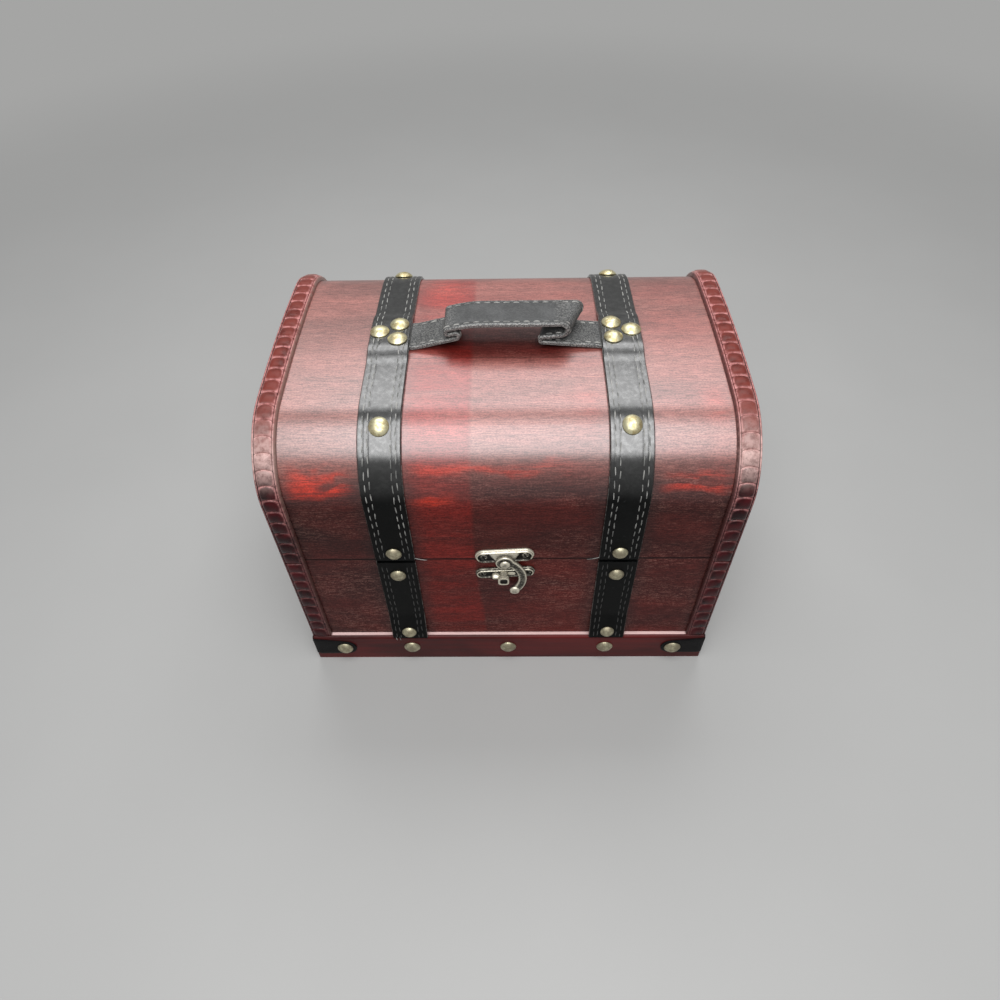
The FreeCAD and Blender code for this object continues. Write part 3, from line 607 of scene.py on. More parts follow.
def bead_strip(name, place, length, side, body, node):
    count = round(length / bead_pitch)
    travels = [bead + fraction for bead in range(count) for fraction in bead_fractions] + [count]
    section = bead_section()
    rings, crowns = [], []
    for travel in travels:
        along = pillow(travel - math.floor(travel))
        run = travel * length / count
        ring = []
        for x, inset, rise, crown in section:
            y, z = place(run + scallop(x, run, length), inset - groove_inset * rise * along)
            ring.append((side * x, y, clear_hinge(y, z)))
            crowns.append(rise * along + crown)
        rings.append(ring)
    piece = make_piece(name, *skin(rings), bead_leatherette, body, "edging_leatherette", [node], bead_sharp)
    paint_points(piece, "crown", crowns)


def upright(face):
    # The place after some travel up a corner, as (y, z)
    return lambda travel, inset: (face * (half_depth - inset), plinth_height + travel)


for face, side, corner in corners:
    bead_strip(f"bead_edging_{corner}", upright(face), base_top - plinth_height, side, "base",
               f"base_edging_{corner}")


# Base straps: black leather strips with two rows of stitching along each edge, glued up the
# front and back and swung out over the plinth's ledge at the foot.
strap_width = 19.5
strap_thickness = 1.6
strap_kick = 2.4
strap_kick_height = 20.0
strap_end_gap = 0.8
strap_steps = 36
strap_round = 0.7
strap_round_share = 0.5
strap_under_inset = 0.5
strap_corner_inset = 0.15
strap_corner_rise = 0.12
base_strap_steps = 40
stitch_rows = (7.25, 5.05)
stitch_pitch = 6.0
stitch_length = 5.1
stitch_radius = 0.26
stitch_sink = 0.16
stitch_groove = 0.45
stitch_proud = 0.12
stitch_first = 1.2
stitch_first_spread = 3.0
stitch_slant = 0.08
stitch_wander = 0.12
stitch_slip = 0.25
stitch_end_margin = 0.6
least_stitch = 0.8
stitch_spokes = 6
# Along a stitch: (share of its half length, share of its radius, sink into the leather)
stitch_profile = ((-1.0, 0.2, 0.42), (-0.75, 0.75, 0.16), (-0.3, 1.0, 0.0), (0.3, 1.0, 0.0),
                  (0.75, 0.75, 0.16), (1.0, 0.2, 0.42))
# Loose thread ends at the foot of the front left strap
tail_asides = (-7.6, -5.6)
tail_out = 1.0
tail_rise = 0.6
tail_ahead = (0.2, -0.25, -0.95)
tail_length = 3.2
tail_radius = 0.2
thread_dark = colour(104, 104, 102)
thread_pale = colour(164, 163, 159)
thread_low = colour(38, 38, 38)
ACROSS = Vector((1, 0, 0))
FORWARD = Vector((0, -1, 0))
needle = random.Random(11)
strap_leather = black_leather("strap_leather", colour(3, 4, 4), colour(11, 12, 12), 0.36, 0.5, 0.25,
                              strap_width / 2)


def thread_finish():
    finish, tree, shader, place = new_finish("thread")
    x, y, z = split(tree, place)
    twist = add_node(tree, "ShaderNodeTexWave", {"Vector": place, "Scale": 900.0, "Distortion": 2.0},
                     bands_direction="DIAGONAL").outputs["Fac"]
    soil = fade(tree, cloud(tree, place, 260.0, 2.0), 0.35, 0.65)
    tone = blend_colours(tree, soil, thread_dark, thread_pale)
    # Darker towards the foot, while the loose tails at the straps' ends stay pale
    aside = calc(tree, "ABSOLUTE", past(tree, x, strap_x))
    darker_low = times(tree, fade(tree, z, 0.130, 0.085, 0.0, 0.9), fade(tree, z, 0.0226, 0.0238),
                   fade(tree, aside, 0.0100, 0.0096))
    fill(tree, shader, {"Base Color": blend_colours(tree, darker_low, tone, thread_low), "Roughness": 0.75})
    set_relief(tree, shader, twist, 0.5, 0.0001)
    return finish


thread = thread_finish()


def strap_section():
    # Upper side from edge to edge, then back along the underside
    half = strap_width / 2
    section = []
    for step in range(strap_steps + 1):
        across = -half + strap_width * step / strap_steps
        edge = half - abs(across)
        height = strap_thickness * (1 - strap_round_share * max(0.0, 1 - edge / strap_round) ** 2)
        for row in stitch_rows:
            height -= stitch_sink * math.exp(-((abs(across) - row) / stitch_groove) ** 2)
        section.append((across, height))
    corner = half - strap_corner_inset
    under = half - strap_under_inset
    return section + [(corner, strap_corner_rise), (under, 0.0), (-under, 0.0), (-corner, strap_corner_rise)]


def path_frames(path):
    # Each place with its normal and its unit direction of travel
    frames = []
    for step, (place, normal) in enumerate(path):
        before = path[max(0, step - 1)][0]
        after = path[min(len(path) - 1, step + 1)][0]
        ahead = (Vector(after) - Vector(before)).normalized()
        frames.append((Vector(place), Vector(normal).normalized(), ahead))
    return frames


def walk_path(path, pitch, offset):
    # Places at equal steps along a path, with normal, direction and the distance to the nearer end
    frames = path_frames(path)
    whole = sum((after[0] - before[0]).length for before, after in zip(frames, frames[1:]))
    places = []
    travelled = 0.0
    wanted = offset
    for (place, normal, ahead), (after, after_normal, after_ahead) in zip(frames, frames[1:]):
        length = (after - place).length
        while wanted <= travelled + length:
            share = (wanted - travelled) / length
            places.append((place.lerp(after, share), normal.lerp(after_normal, share).normalized(),
                           ahead.lerp(after_ahead, share).normalized(), min(wanted, whole - wanted)))
            wanted += pitch
        travelled += length
    return places


def add_stitch(points, faces, centre, ahead, normal, length, radius):
    side = ahead.cross(normal).normalized()
    angles = [math.tau * spoke / stitch_spokes for spoke in range(stitch_spokes)]
    spokes = [side * math.cos(angle) + normal * math.sin(angle) for angle in angles]
    rings = []
    for along, swell, sink in stitch_profile:
        middle = centre + ahead * (along * length / 2) - normal * sink
        rings.append([tuple(middle + spoke * radius * swell) for spoke in spokes])
    add_skin(points, faces, rings)


def strap_stitches(path):
    points, faces = [], []
    for row in stitch_rows:
        for side in (LEFT, RIGHT):
            first = stitch_first + needle.random() * stitch_first_spread
            for centre, normal, ahead, room in walk_path(path, stitch_pitch, first):
                lean = ahead + ACROSS * needle.uniform(-stitch_slant, stitch_slant)
                centre = centre + ACROSS * (side * row + needle.uniform(-stitch_wander, stitch_wander))
                centre = centre + normal * (strap_thickness - stitch_sink + stitch_proud)
                centre = centre + ahead * needle.uniform(-stitch_slip, stitch_slip)
                length = min(stitch_length * needle.uniform(0.85, 1.05), 2 * (room - stitch_end_margin))
                if length > least_stitch:
                    add_stitch(points, faces, centre, lean.normalized(), normal, length, stitch_radius)
    return points, faces


def sewn_strap(body, end, path, tails):
    section = strap_section()
    rings = [[tuple(place + ACROSS * aside + normal * height) for aside, height in section]
             for place, normal, ahead in path_frames(path)]
    make_piece(f"leather_strap_{body}_{end}", *skin(rings), strap_leather, body, "strap_leather",
               [f"{body}_strap_{end}"])
    points, faces = strap_stitches(path)
    for place, ahead, length, radius in tails:
        add_stitch(points, faces, Vector(place), Vector(ahead).normalized(), FORWARD, length, radius)
    make_piece(f"stitching_{body}_{end}", points, faces, thread, body, "strap_leather")


def base_strap_path(side, face):
    foot = plinth_height + glue_gap
    top = base_top - strap_end_gap
    path = []
    for step in range(base_strap_steps + 1):
        z = foot + (top - foot) * step / base_strap_steps
        share = max(0.0, 1 - (z - foot) / strap_kick_height)
        stand_off = strap_kick * share * (1 + 0.25 * (1 - share) * share)
        lean = math.atan2(strap_kick, strap_kick_height) if share > 0 else 0.0
        y = face * (wall_y + glue_gap + stand_off)
        path.append(((side * strap_x, y, z), (0, face * math.cos(lean), math.sin(lean))))
    return path


for face, side, corner in corners:
    tails = []
    if (face, side) == (FRONT, LEFT):
        tails = [((-strap_x + aside, -half_depth - tail_out, plinth_height + tail_rise), tail_ahead,
                  tail_length, tail_radius) for aside in tail_asides]
    sewn_strap("base", corner, base_strap_path(side, face), tails)


# Base and plinth nails: brass-plated dome nails driven through strap, cap or rail into the wood.
# The stamped domes are a little dented, with a thin rim turned down on the leather.
nail_radius = 4.6
nail_dome = 2.4
nail_spokes = 20
nail_lift = 0.03
nail_tip = 0.02
nail_dent = 0.07
nail_ripple = 0.025
nail_rim_share = 0.15
nail_squash = (0.96, 1.02)
nail_sharp = 55.0
strap_nail = 0.86
high_nail_drop = 11.0
low_nail_rise = 6.0
# From the rim to the crown: (share of the radius, share of the dome)
nail_profile = ((0.99, 0.0), (1.0, 0.10), (0.985, 0.20), (0.93, 0.30), (0.84, 0.46), (0.70, 0.66),
                (0.52, 0.84), (0.32, 0.955), (0.13, 1.0))
brass_bright = colour(224, 218, 182)
brass_dull = colour(176, 162, 122)
brass_low = colour(142, 136, 122)
hammer = random.Random(5)


def nail_finish():
    finish, tree, shader, place = new_finish("nail_brass")
    soil = cloud(tree, place, 340.0, 4.0, 0.65)
    tone = blend_colours(tree, fade(tree, soil, 0.42, 0.64), brass_bright, brass_dull)
    z = split(tree, place)[2]
    # Duller and darker towards the bottom of the chest
    duller_low = times(tree, fade(tree, z, 0.145, 0.115, 0.0, 0.75), fade(tree, soil, 0.34, 0.60, 0.55, 1.0))
    fill(tree, shader, {"Base Color": blend_colours(tree, duller_low, tone, brass_low), "Metallic": 1.0,
                        "Roughness": fade(tree, soil, 0.3, 0.7, 0.36, 0.54)})
    set_relief(tree, shader, cloud(tree, place, 520.0, 2.0), 0.25, 0.0003)
    return finish


nail_brass = nail_finish()


def turn_to(outward):
    return Vector((0, 0, 1)).rotation_difference(Vector(outward).normalized()).to_matrix()


def add_nail(points, faces, seat, outward, size):
    turn = turn_to(outward)
    seat = Vector(seat)
    first = len(points)
    dents = [hammer.uniform(-nail_dent, nail_dent) for spoke in range(nail_spokes)]
    squash = hammer.uniform(*nail_squash)
    for share, rise in nail_profile:
        reach = nail_radius * size * share
        for spoke in range(nail_spokes):
            angle = math.tau * spoke / nail_spokes
            ripple = hammer.uniform(-nail_ripple, nail_ripple) * (rise > nail_rim_share)
            height = nail_dome * rise + dents[spoke] * math.sin(math.pi * rise) + ripple + nail_lift
            local = Vector((reach * math.cos(angle) * squash, reach * math.sin(angle), height))
            points.append(tuple(seat + turn @ local))
    points.append(tuple(seat + turn @ Vector((0, 0, nail_dome + nail_tip))))
    faces += wall_faces(first, nail_spokes, len(nail_profile))
    crown = len(points) - 1
    last = crown - nail_spokes
    for spoke in range(nail_spokes):
        faces.append((last + spoke, last + (spoke + 1) % nail_spokes, crown))
    faces.append(tuple(range(first, first + nail_spokes)))


def make_nails(name, places, body, node):
    points, faces = [], []
    for seat, outward, size in places:
        add_nail(points, faces, seat, outward, size)
    make_piece(name, points, faces, nail_brass, body, "nail_brass", [node], nail_sharp)


cap_cover = glue_gap + cap_thickness
plinth_places = []
for face in (FRONT, BACK):
    seats = [(x, half_depth) for x in (-strap_x, 0.0, strap_x)]
    seats += [(side * (half_width - cap_nail), half_depth + cap_cover) for side in (LEFT, RIGHT)]
    plinth_places += [((x, face * out, cap_nail_height), (0, face, 0), 1.0) for x, out in seats]
for side in (LEFT, RIGHT):
    seats = [(half_width, 0)]
    seats += [(half_width + cap_cover, face * (half_depth - cap_nail)) for face in (FRONT, BACK)]
    plinth_places += [((side * out, y, cap_nail_height), (side, 0, 0), 1.0) for out, y in seats]
make_nails("plinth_nails", plinth_places, "base", "plinth_studs")

strap_lean = math.atan2(strap_kick, strap_kick_height)
strap_face = wall_y + glue_gap + strap_thickness
low_share = 1 - (low_nail_rise - glue_gap) / strap_kick_height
low_face = wall_y + glue_gap + strap_kick * low_share + strap_thickness / math.cos(strap_lean)
base_strap_places = []
for face, side, corner in corners:
    base_strap_places.append(((side * strap_x, face * strap_face, base_top - high_nail_drop),
                              (0, face, 0), strap_nail))
    base_strap_places.append(((side * strap_x, face * low_face, plinth_height + low_nail_rise),
                              (0, face * math.cos(strap_lean), math.sin(strap_lean)), strap_nail))
make_nails("base_strap_nails", base_strap_places, "base", "base_strap_studs")


# Back hinges: two small butt hinges of stamped brass plate, dull with age, with a rolled barrel
# round a peened pin and four dome-head screws each.
hinge_bright = colour(148, 126, 84)
hinge_dull = colour(84, 66, 42)


def hinge_finish():
    finish, tree, shader, place = new_finish("hinge_brass")
    soil = cloud(tree, place, 260.0, 5.0, 0.65)
    tone = blend_colours(tree, fade(tree, soil, 0.4, 0.66), hinge_bright, hinge_dull)
    fill(tree, shader, {"Base Color": tone, "Metallic": 1.0,
                        "Roughness": fade(tree, soil, 0.3, 0.7, 0.3, 0.55)})
    set_relief(tree, shader, cloud(tree, place, 900.0, 2.0), 0.15, 0.0002)
    return finish


dress(hinge_finish(), *[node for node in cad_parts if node.startswith("hinge_")])


# Lid boards: a thin board bent over two shaped ends and glued to them.
# It is stained and lacquered as the base is.
dress(long_board, "lid_skin")
dress(end_board, "lid_left_end", "lid_right_end")


# Lid edging: the same embossed leatherette strip as on the base, glued over the arch
# at both ends of the lid.
lid_bottom = seam_height + seam_half
lid_rise = shoulder_z - lid_bottom
shoulder_length = shoulder_radius * (math.pi / 2 - crown_angle)
top_length = top_radius * 2 * crown_angle
arch_length = 2 * lid_rise + 2 * shoulder_length + top_length


def arch_place(travel, inset):
    # The place after some travel up the front, over the top and down the back, as (y, z)
    if travel > arch_length / 2:
        y, z = arch_place(arch_length - travel, inset)
        return -y, z
    if travel <= lid_rise:
        return -(half_depth - inset), lid_bottom + travel
    if travel <= lid_rise + shoulder_length:
        angle = math.pi - (travel - lid_rise) / shoulder_radius
        reach = shoulder_radius - inset
        return -shoulder_y + reach * math.cos(angle), shoulder_z + reach * math.sin(angle)
    angle = math.pi / 2 + crown_angle - (travel - lid_rise - shoulder_length) / top_radius
    reach = top_radius - inset
    return reach * math.cos(angle), top_centre_z + reach * math.sin(angle)


for side, end in side_names.items():
    bead_strip(f"bead_edging_lid_{end}", arch_place, arch_length, side, "lid", f"lid_edging_{end}")


# Carry handle: one leather strap nailed flat under the lid straps and folded back on itself
# at both ends, so that it can be pulled up into a loop. The right-hand fold lies askew.
lid_apex = chest_height - edging_rise
handle_width = 19.5
handle_half = handle_width / 2
handle_thickness = 2.0
handle_shift = -1.5
handle_level = lid_apex + glue_gap + handle_thickness / 2
handle_tab_end = strap_x + 9.3
handle_lift_x = strap_x - strap_width / 2
handle_tab_run = handle_tab_end - handle_lift_x
handle_left_slope = math.radians(14.0)
handle_left_run = 18.0
handle_right_slope = math.radians(5.2)
handle_lift_radius = 20.0
handle_fold_radius = 1.4
handle_fold_run = 2.5
handle_grip_radius = 60.0
handle_grip_run = 39.0
handle_curl_radius = 3.1
handle_skew = 4.0
handle_steps = 12
handle_round = 0.7
handle_round_share = 0.45
furrow_share = 0.78
furrow_depth = 0.12
furrow_width = 0.5
half_shares = (0.25, 0.5, 0.70, furrow_share, 0.86, 0.94, 0.985, 1.0)
handle_shares = [-share for share in reversed(half_shares)] + [0.0, *half_shares]
handle_stitch_pitch = 4.6
handle_stitch_start = 2.4
handle_stitch_length = 3.5
handle_stitch_radius = 0.34
handle_stitch_sink = 0.02
handle_dark = colour(44, 45, 46)
handle_pale = colour(62, 63, 64)
furrow_black = colour(20, 20, 21)
fuzz_grey = colour(152, 151, 148)


def handle_finish():
    finish, tree, shader, place = new_finish("handle_leather")
    hide = place_group(tree, leather_grain, place)
    x, y, z = split(tree, place)
    fibre = streaked(tree, place, (1300, 2400, 2400), 3.0, 0.6)
    tab = fade(tree, calc(tree, "ABSOLUTE", x), 0.020, 0.027)
    across = calc(tree, "ABSOLUTE", calc(tree, "SUBTRACT", y, handle_shift * MM))
    tone = blend_colours(tree, fade(tree, hide["Tone"], 0.35, 0.68), handle_dark, handle_pale)
    furrow = times(tree, window(tree, across, 0.0070, 0.0082, 0.0005), 0.7)
    tone = blend_colours(tree, furrow, tone, furrow_black)
    # Loose fibres stand out on the folded tabs and along the raw edges
    raw_edge = fade(tree, across, 0.0084, 0.0091, 0.0, 1.3)
    fuzz = times(tree, most(tree, fade(tree, tab, 0.0, 1.0, 0.12, 0.5), raw_edge),
                 fade(tree, fibre, 0.40, 0.68))
    tone = blend_colours(tree, fuzz, tone, fuzz_grey)
    fill(tree, shader, {"Base Color": tone, "Roughness": fade(tree, tab, 0.0, 1.0, 0.5, 0.8)})
    nap = calc(tree, "ADD", hide["Relief"], times(tree, fibre, fade(tree, tab, 0.0, 1.0, 0.3, 0.8)))
    set_relief(tree, shader, nap, 0.5, 0.0001)
    return finish


def handle_walk(moves):
    # Centre line as ((x, z), heading), with the same number of places for each run and bend
    x, z, heading = -handle_tab_end, handle_level, 0.0
    line = [((x, z), heading)]
    for length, radius, turn in moves:
        for step in range(1, handle_steps + 1):
            share = step / handle_steps
            if turn:
                bend = math.copysign(radius, turn)
                angle = heading + turn * share
                place = (x + bend * (math.sin(angle) - math.sin(heading)),
                         z - bend * (math.cos(angle) - math.cos(heading)))
                line.append((place, angle))
            else:
                place = (x + length * share * math.cos(heading), z + length * share * math.sin(heading))
                line.append((place, heading))
        (x, z), heading = line[-1]
    return line


def handle_line(across):
    # Moves are (length, 0, 0) for a run and (0, radius, turn) for a bend
    skew = handle_skew * across / handle_half
    start = [(handle_tab_run, 0, 0), (0, handle_lift_radius, handle_left_slope), (handle_left_run, 0, 0),
             (0, handle_fold_radius, math.pi), (handle_fold_run, 0, 0),
             (0, handle_fold_radius, -math.pi), (handle_fold_run, 0, 0),
             (0, handle_grip_radius, -handle_left_slope), (handle_grip_run + skew, 0, 0),
             (0, handle_curl_radius, handle_right_slope - math.pi)]
    curl_x, curl_z = handle_walk(start)[-1][0]
    # The two runs of the right-hand fold bring the strap back down to the lid at its strap
    slope_sin = math.sin(handle_right_slope)
    slope_cos = math.cos(handle_right_slope)
    fold = 2 * handle_fold_radius * slope_cos
    settle = handle_lift_radius * (1 - slope_cos)
    total = (curl_z - handle_level - fold - settle) / slope_sin
    gap = (handle_lift_x - curl_x - handle_lift_radius * slope_sin) / slope_cos
    end = [((total - gap) / 2, 0, 0), (0, handle_fold_radius, math.pi - 2 * handle_right_slope),
           ((total + gap) / 2, 0, 0), (0, handle_lift_radius, handle_right_slope), (handle_tab_run, 0, 0)]
    return handle_walk(start + end)


def handle_path(across):
    return [((x, handle_shift + across, z), (-math.sin(heading), 0, math.cos(heading)))
            for (x, z), heading in handle_line(across)]


def handle_rings():
    paths = [handle_path(share * handle_half) for share in handle_shares]
    rings = []
    for stations in zip(*paths):
        upper, under = [], []
        for share, (place, normal) in zip(handle_shares, stations):
            edge = (1 - abs(share)) * handle_half
            half = handle_thickness / 2 * (1 - handle_round_share * max(0.0, 1 - edge / handle_round) ** 2)
            from_furrow = (abs(share) - furrow_share) * handle_half
            half -= furrow_depth * math.exp(-(from_furrow / furrow_width) ** 2)
            upper.append(tuple(Vector(place) + Vector(normal) * half))
            under.append(tuple(Vector(place) - Vector(normal) * half))
        rings.append(upper + under[::-1])
    return rings


make_piece("leather_carry_handle", *skin(handle_rings()), handle_finish(), "lid", "handle_leather",
           ["carry_handle"])
points, faces = [], []
for side in (LEFT, RIGHT):
    path = handle_path(side * furrow_share * handle_half)
    for centre, normal, ahead, room in walk_path(path, handle_stitch_pitch, handle_stitch_start):
        for outward in (normal, -normal):
            seat = centre + outward * (handle_thickness / 2 - handle_stitch_sink)
            add_stitch(points, faces, seat, ahead, outward, handle_stitch_length, handle_stitch_radius)
make_piece("stitching_handle", points, faces, thread, "lid", "handle_leather")


# Lid straps: longer leather strips stitched as those of the base, glued over the arch and
# raised over the handle's nailed ends.
hump_ramp = 9.5
hump_margin = 0.5
hump_half = handle_half + hump_margin
hump_rise = handle_thickness + glue_gap
lid_strap_steps = 150
slope_reach = 0.05
# A loose thread end beside the lower front end of each strap
lid_tail_aside = 2.0
lid_tail_out = 1.3
lid_tail_rise = 1.4
lid_tail_length = 8.0
lid_tail_radius = 0.18


def lid_strap_path(side):
    path = []
    inset = edging_rise - glue_gap
    for step in range(lid_strap_steps + 1):
        travel = strap_end_gap + (arch_length - 2 * strap_end_gap) * step / lid_strap_steps
        y, z = arch_place(travel, inset)
        ahead_y, ahead_z = arch_place(min(arch_length, travel + slope_reach), inset)
        back_y, back_z = arch_place(max(0.0, travel - slope_reach), inset)
        distance = abs(y - handle_shift) - hump_half
        share = min(1.0, max(0.0, 1 - distance / hump_ramp)) if z > shoulder_z else 0.0
        raised = z + hump_rise * share * share * (3 - 2 * share)
        path.append(((side * strap_x, y, raised), (0, back_z - ahead_z, ahead_y - back_y)))
    return path


for side, end in side_names.items():
    tail = (side * (strap_x - strap_width / 2 - lid_tail_aside), -wall_y - lid_tail_out,
            lid_bottom + lid_tail_rise)
    ahead = (-side * 0.96, -0.05, -0.25)
    sewn_strap("lid", end, lid_strap_path(side), [(tail, ahead, lid_tail_length, lid_tail_radius)])


# Lid nails: the same brass-plated dome nails, driven along the straps and three at each end
# of the handle, through the strap and the handle into the lid.
front_nail_rise = 6.5
shoulder_lean = math.radians(62.0)
# At each end of the handle one nail and a pair: (outward from the strap's middle, along the strap)
handle_nails = ((5.0, 0.0), (-4.0, 5.7), (-4.0, -5.7))

shoulder_reach = shoulder_radius - edging_rise + glue_gap + strap_thickness
shoulder_nail_y = shoulder_y + shoulder_reach * math.cos(shoulder_lean)
shoulder_nail_z = shoulder_z + shoulder_reach * math.sin(shoulder_lean)
handle_nail_z = lid_apex + 2 * glue_gap + handle_thickness + strap_thickness
lid_strap_places = []
handle_places = []
for side in (LEFT, RIGHT):
    for face in (FRONT, BACK):
        lid_strap_places.append(((side * strap_x, face * strap_face, lid_bottom + front_nail_rise),
                                 (0, face, 0), strap_nail))
        lid_strap_places.append(((side * strap_x, face * shoulder_nail_y, shoulder_nail_z),
                                 (0, face * math.cos(shoulder_lean), math.sin(shoulder_lean)), 1.0))
    for out, along in handle_nails:
        handle_places.append(((side * (strap_x + out), handle_shift + along, handle_nail_z), (0, 0, 1), 1.0))
make_nails("lid_strap_nails", lid_strap_places, "lid", "lid_strap_studs")
make_nails("handle_nails", handle_places, "lid", "handle_studs")


# Latch plates: two zinc castings with a stepped raised rim round sunk pans, screwed one to the lid
# and one to the base. The antique plating is bright on the rims and nearly black in the pans.
latch_x = -0.9
latch_top_z = seam_height + 3.7
latch_tilt = math.radians(4.0)
pivot_z = seam_height + 1.2
strike_z = seam_height - 10.0
top_spacing = 20.4
top_plate_radius = 4.2
strike_spacing = 22.8
strike_plate_radius = 3.4
# Painted shade that darkens the strike plate's outer rims and the plates' lower rims
strike_shade = 0.45
low_rim_shade = 0.45
rim_inset = 0.6
round_power = 1.0
middle_power = 0.4
post_power = 0.55
bar_power = 0.7
bar_steps = 16
peg_steps = 28
# From the wall to the pan: (inset, distance in front of the boards, brightness)
plate_rings = ((0.0, 0.05, 0.6), (0.0, 0.85, 0.85), (0.12, 1.1, 1.0), (0.42, 1.18, 0.9), (0.5, 1.22, 0.5),
               (0.54, 1.8, 0.8), (0.66, 2.05, 1.0), (0.8, 2.12, 1.0), (1.02, 2.1, 0.9), (1.2, 1.9, 0.5),
               (1.36, 1.3, 0.12), (1.6, 1.2, 0.08))
# Rows of (half width, half height, distance in front of the boards, brightness)
middle_rows = ((6.9, 3.6, 1.0, 0.3), (6.6, 3.6, 1.4, 0.5), (5.4, 3.4, 2.02, 0.95), (4.6, 3.0, 2.14, 0.9),
               (2.0, 1.5, 2.18, 0.8))
lobe_rows = ((4.5, 4.5, 0.05, 0.2), (4.5, 4.5, 1.8, 0.5), (4.2, 4.2, 2.1, 0.9), (3.2, 3.2, 2.15, 0.5),
             (3.1, 3.1, 2.4, 0.5))
post_stem_rows = ((2.4, 2.3, 1.0, 0.3), (1.8, 1.8, 1.9, 0.6), (1.8, 1.8, 4.6, 0.8))
post_head_rows = ((2.6, 2.6, 4.9, 1.0), (2.75, 2.75, 5.2, 1.0), (2.7, 2.7, 6.9, 1.0))
post_dish_rows = ((2.1, 2.1, 7.0, 1.0), (1.75, 1.75, 6.8, 0.3), (1.4, 1.4, 6.45, 0.0))
# The short bars: (half width, half height, share of the rise, brightness)
bar_rows = ((1.7, 1.0, 0.0, 0.3), (2.1, 1.3, 0.6, 0.7), (1.8, 0.85, 0.85, 1.0), (1.5, 0.4, 1.0, 1.0))
bar_rises = {LEFT: 4.0, RIGHT: 1.35}
bar_aside = 3.9
bar_foot = 1.0
middle_flare = 0.07
post_x = latch_x - 0.7
post_head_x = post_x - 0.1
pewter_bright = colour(218, 212, 194)
pewter_dark = colour(26, 24, 21)


def pewter_finish():
    finish, tree, shader, place = new_finish("latch_pewter")
    edge = add_node(tree, "ShaderNodeAttribute", {}, attribute_name="edge").outputs["Fac"]
    soil = cloud(tree, place, 950.0, 3.0, 0.6)
    rubbed = calc(tree, "ADD", edge, fade(tree, soil, 0.3, 0.7, 0.13, -0.13))
    tone = blend_colours(tree, fade(tree, rubbed, 0.15, 0.9), pewter_dark, pewter_bright)
    fill(tree, shader, {"Base Color": tone, "Metallic": 0.75,
                        "Roughness": fade(tree, soil, 0.3, 0.7, 0.34, 0.50)})
    set_relief(tree, shader, cloud(tree, place, 1300.0, 3.0, 0.6), 0.3, 0.0003)
    return finish


latch_pewter = pewter_finish()


def casting(name, points, faces, edges, body, nodes=(), sharp=60.0):
    piece = make_piece(name, points, faces, latch_pewter, body, "latch_pewter", nodes, sharp)
    paint_points(piece, "edge", edges)


def loft(loops):
    # Each loop is (outline of x and z, distance in front of the boards, brightness)
    rings = [[(x, -wall_y - height, z) for x, z in outline] for outline, height, edge in loops]
    points, faces = skin(rings)
    return points, faces, [edge for outline, height, edge in loops for place in outline]


def tilted(x, z, centre_z):
    across = x - latch_x
    above = z - centre_z
    return (latch_x + across * math.cos(latch_tilt) - above * math.sin(latch_tilt),
            centre_z + across * math.sin(latch_tilt) + above * math.cos(latch_tilt))


def bar_loop(reach, radius, z):
    # Outline of a round-ended bar
    loop = []
    for end, start in ((1, -math.pi / 2), (-1, math.pi / 2)):
        for step in range(bar_steps + 1):
            angle = start + math.pi * step / bar_steps
            loop.append((latch_x + end * reach + radius * math.cos(angle), z + radius * math.sin(angle)))
    return loop


def rimmed_plate(name, spacing, radius, z, centre_z, body, node, rim_shade):
    rings, edges = [], []
    for inset, height, edge in plate_rings:
        ring = []
        for x, high in bar_loop(spacing / 2, radius - inset, z):
            # Painted shade on the lower rims, and on the outer rims where the plate is shaded
            low_rim_shading = low_rim_shade if high < z - radius / 2 else 1.0
            edges.append(edge * low_rim_shading * (rim_shade if inset < rim_inset else 1.0))
            x, high = tilted(x, high, centre_z)
            ring.append((x, -wall_y - height, high))
        rings.append(ring)
    casting(name, *skin(rings), edges, body, [node])


def rounded_square(x, z, half_x, half_z, power):
    # A power of one gives an ellipse, and a smaller one a squarer outline
    loop = []
    for step in range(peg_steps):
        angle = math.tau * step / peg_steps
        across, above = math.cos(angle), math.sin(angle)
        loop.append((x + half_x * math.copysign(abs(across) ** power, across),
                     z + half_z * math.copysign(abs(above) ** power, above)))
    return loop


def stacked(x, z, rows, power):
    return [(rounded_square(x, z, half_x, half_z, power), height, edge)
            for half_x, half_z, height, edge in rows]


def middle_loop(outline):
    # Wider along the top rim than below, and tilted with the plate
    return [tilted(latch_x + (x - latch_x) * (1 + middle_flare * (z - latch_top_z)), z, pivot_z)
            for x, z in outline]


rimmed_plate("cast_top_plate", top_spacing, top_plate_radius, latch_top_z, pivot_z, "lid",
             "latch_top_plate", 1.0)
rimmed_plate("cast_strike_plate", strike_spacing, strike_plate_radius, strike_z, strike_z, "base",
             "latch_strike_plate", strike_shade)
# The raised middle of the top plate, which carries the pivot, slopes away to the pans
middle = [(middle_loop(outline), height, edge)
          for outline, height, edge in stacked(latch_x, latch_top_z, middle_rows, middle_power)]
casting("cast_top_middle", *loft(middle), "lid")
casting("cast_pivot_lobe", *loft(stacked(latch_x, pivot_z, lobe_rows, round_power)), "lid")
# The post of the strike plate: a squarish peg with a dished end between two short bars
post = (stacked(post_x, strike_z, post_stem_rows, post_power)
        + stacked(post_head_x, strike_z, post_head_rows, post_power)
        + stacked(post_x, strike_z, post_dish_rows, post_power))
casting("cast_strike_post", *loft(post), "base")
for side, rise in bar_rises.items():
    rows = [(half_x, half_z, bar_foot + share * rise, edge) for half_x, half_z, share, edge in bar_rows]
    casting(f"cast_strike_bar_{side_names[side]}",
            *loft(stacked(post_x + side * bar_aside, strike_z, rows, bar_power)), "base")


